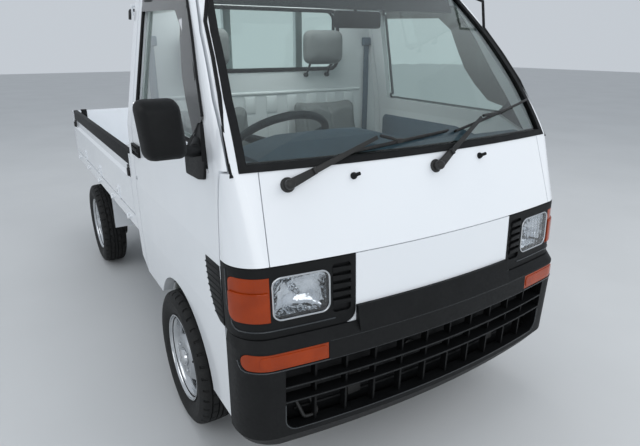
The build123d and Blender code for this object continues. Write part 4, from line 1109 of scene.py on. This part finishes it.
def steeringWheel():
    s = steering
    tilt, grip, centre = math.radians(s["tilt"]), s["grip"], Vector(s["centre"])
    axis, side = Vector((0, math.sin(tilt), math.cos(tilt))), Vector((1, 0, 0))
    up = axis.cross(side)
    section = [(grip * math.cos(i * math.pi / 6), s["radius"] + grip * math.sin(i * math.pi / 6)) for i in range(12)]
    parts = [
        makeLathe("steeringRim", section, centre, axis, 64),
        makeLathe("pad", [(-0.05, 0.0005), (-0.05, 0.03), (-0.03, 0.05), (-0.012, 0.056), (-0.006, 0.05),
                          (-0.004, 0.0005)], centre, axis, 48),
        makeLathe("boss", [(-0.1, 0.0005), (-0.1, 0.026), (-0.05, 0.024), (-0.045, 0.0005)], centre, axis, 32)]
    for angle in s["spokes"]:
        arm = side * math.cos(math.radians(angle)) + up * math.sin(math.radians(angle))
        route = [centre + axis * along + arm * out for along, out in ((-0.024, 0.03), (-0.02, 0.11), (-0.002, 0.182))]
        parts.append(flatBar("spoke", route, (0.05, 0.036, 0.026), 0.012, axis))
    return joinPieces("steeringWheelRim", parts)


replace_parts(finishPiece(steeringWheel(), "steering_wheel", wheelVinylAndHeaderShade, 45), "steering_wheel")


def rearView():  # mirror on its stalk under the header
    case = makeBox("rearView", (-0.055, -1.045, 1.491), (0.155, -1.02, 1.551), 0.011, 4)
    route = curvePoints([(0.05, -1.025, 1.53), (0.05, -1.01, 1.58), (0.05, -1.02, 1.625)], 5)
    stalk = makeTube("stalk", route, 0.006, 3)
    glass = makeBox("rearViewGlass", (-0.049, -1.0215, 1.497), (0.149, -1.0185, 1.545), 0.001)
    return joinPieces("rearView", [case, stalk]), glass


def windowGasket():  # black rubber round the rear window, inside and out
    corners = [(x, -0.3425, z) for x, z in ((-0.386, 1.316), (0.386, 1.316), (0.386, 1.594), (-0.386, 1.594))]
    route = roundCorners(corners, 0.045, 6)
    return repeatPiece("rearWindowRubber", makeTube("loop", route + [route[0]], 0.009), [(0, 0.3425 - 0.3835, 0)])


def wallSwages():  # a pressed step across the cab's back wall, and the pressings under the window
    step = makeBox("step", (-0.53, -0.3895, 1.203), (0.53, -0.3815, 1.216), 0.0035, 3)
    rib = makeBox("rib", (-0.488, -0.3885, 1.115), (-0.432, -0.3815, 1.196), 0.0035, 3)
    ribs = repeatPiece("ribs", rib, [(0.115 * index, 0, 0) for index in range(1, 9)])
    return joinPieces("wallSwages", [step, ribs])


case, glass = rearView()
finishPiece(case, "truck", blackPlastic)
finishPiece(glass, "truck", brightMetal, 40, "black_plastic")
visor = makeBox("sunVisor", (-0.47, -0.99, 1.615), (-0.07, -0.87, 1.633), 0.008, 3)
# a dark panel along the windscreen's header: partly its trim, partly painted shade under the roof
header = [(-0.52, -1.048, 1.556), (-0.52, -1.02, 1.556), (-0.52, -0.985, 1.64), (-0.52, -1, 1.65)]
finishPiece(makeSlab("headerTrimShade", header, (1.04, 0, 0), 0.005), "truck", wheelVinylAndHeaderShade)
finishPiece(repeatPiece("sunVisors", visor, [(0.54, 0, 0)]), "truck", visorVinyl)
finishPiece(windowGasket(), "truck", blackRubber, 50)
finishPiece(wallSwages(), "truck", whitePaint)


def doorCard():  # vinyl-covered board, its arm rest and the window winder
    outline = [(-0.455, 0.6), (-0.455, 1.075), (-1, 1.075), (-1.17, 1.045), (-1.24, 0.96), (-1.24, 0.8), (-0.95, 0.6)]
    card = makeSlab("card", roundCorners([(0.642, y, z) for y, z in outline], 0.03, 4), (0.012, 0, 0), 0.003)
    rest = makeBox("armRest", (0.612, -0.9, 0.86), (0.646, -0.62, 0.9), 0.01, 4)
    boss = makeLathe("boss", [(0, 0.0005), (0, 0.018), (0.014, 0.016), (0.018, 0.0005)], (0.644, -1.02, 0.93),
                     (-1, 0, 0), 24)
    crank = makeTube("crank", [(0.626, -1.02, 0.93), (0.618, -0.985, 0.915), (0.618, -0.93, 0.9)], 0.006, 3)
    knob = softEdges(startRod("knob", (0.62, -0.93, 0.9), (0.59, -0.93, 0.9), 0.011, 20), 0.004)
    return joinPieces("doorCard", [card, rest]), joinPieces("windowWinder", [boss, crank, knob])


def seatBelt():  # webbing hanging down the rear post, with its top loop
    strap = flatBar("strap", vectors([(0.565, -0.392, z) for z in (0.72, 0.95, 1.2, 1.44)]), [0.034] * 4, 0.0015,
                    Vector((0, -1, 0)))
    return joinPieces("seatBelt", [strap, makeBox("loop", (0.535, -0.405, 1.43), (0.59, -0.388, 1.47), 0.005, 3)])


def frameHook():  # bent rod at the top corner of the guard frame
    ends = vectors([(-0.565, -0.31, 1.57), (-0.614, -0.31, 1.575), (-0.618, -0.31, 1.536)])
    return makeTube("frameHook", [ends[0]] + roundCorners(ends, 0.008, 4)[5:10] + [ends[2]], 0.006, 3)


card, winder = doorCard()
finishBoth(card, "door_left", cabinPlastic)
finishBoth(winder, "door_left", blackPlastic)
finishBoth(seatBelt(), "truck", cabinPlastic)
finishPiece(frameHook(), "truck", blackSteel, 50)
print("cabin dressed")


# Studio: floor, soft lights and the camera
studio = {"floorSize": 60, "floorTones": ("c9cbcc", "c4c6c7"), "world": "dfe6ee", "worldStrength": 0.75}
floor = startShape("floor", bpy.ops.mesh.primitive_plane_add, size=studio["floorSize"])
floor.data.materials.append(surface("paleFloor", studio["floorTones"], 900, (0.7, 0.8)))  # swept pale concrete, matt
world = bpy.data.worlds.new("studio")
world.use_nodes = True
bpy.context.scene.world = world
background = world.node_tree.nodes["Background"]
background.inputs["Color"].default_value = hexColour(studio["world"])
background.inputs["Strength"].default_value = studio["worldStrength"]

lamps = {
    # place, aimed at, width, power; cabinLamp is a soft fill for the cabin
    "keyLamp": ((3.2, -4.6, 4.4), (0, -0.4, 0.7), 4.5, 130),
    "sideLamp": ((-5.5, -0.5, 3.6), (0, 0, 0.6), 4, 62),
    "frontLamp": ((-1.5, -6, 2.6), (0, -1.4, 0.8), 3, 38),
    "topLamp": ((0, 0.5, 6.5), (0, 0, 0), 5, 105),
    "cabinLamp": ((0, -0.78, 1.66), (0, -0.8, 0.5), 0.8, 5),
}
for name, (place, target, width, power) in lamps.items():
    bpy.ops.object.light_add(type="AREA", location=place)
    lamp = bpy.context.object
    lamp.name = name
    lamp.data.size = width
    lamp.data.energy = power
    lamp.rotation_euler = (Vector(target) - Vector(place)).to_track_quat("-Z", "Y").to_euler()
    if name not in ("sideLamp", "frontLamp"):  # their square images would stand in the windscreen
        lamp.visible_glossy = False
        lamp.visible_transmission = False

photoView = {"place": (-1.1532, -2.7336, 1.4316), "aim": (0.49284, 0.80681, -0.32582), "lens": 28.95, "sensor": 36}
bpy.ops.object.camera_add(location=Vector(photoView["place"]) + Vector((middle, 0, 0)))
camera = bpy.context.object
camera.data.lens = photoView["lens"]
camera.data.sensor_width = photoView["sensor"]
camera.rotation_euler = Vector(photoView["aim"]).to_track_quat("-Z", "Y").to_euler()
bpy.context.scene.camera = camera
bpy.context.scene.view_settings.view_transform = "Standard"
print("studio set")
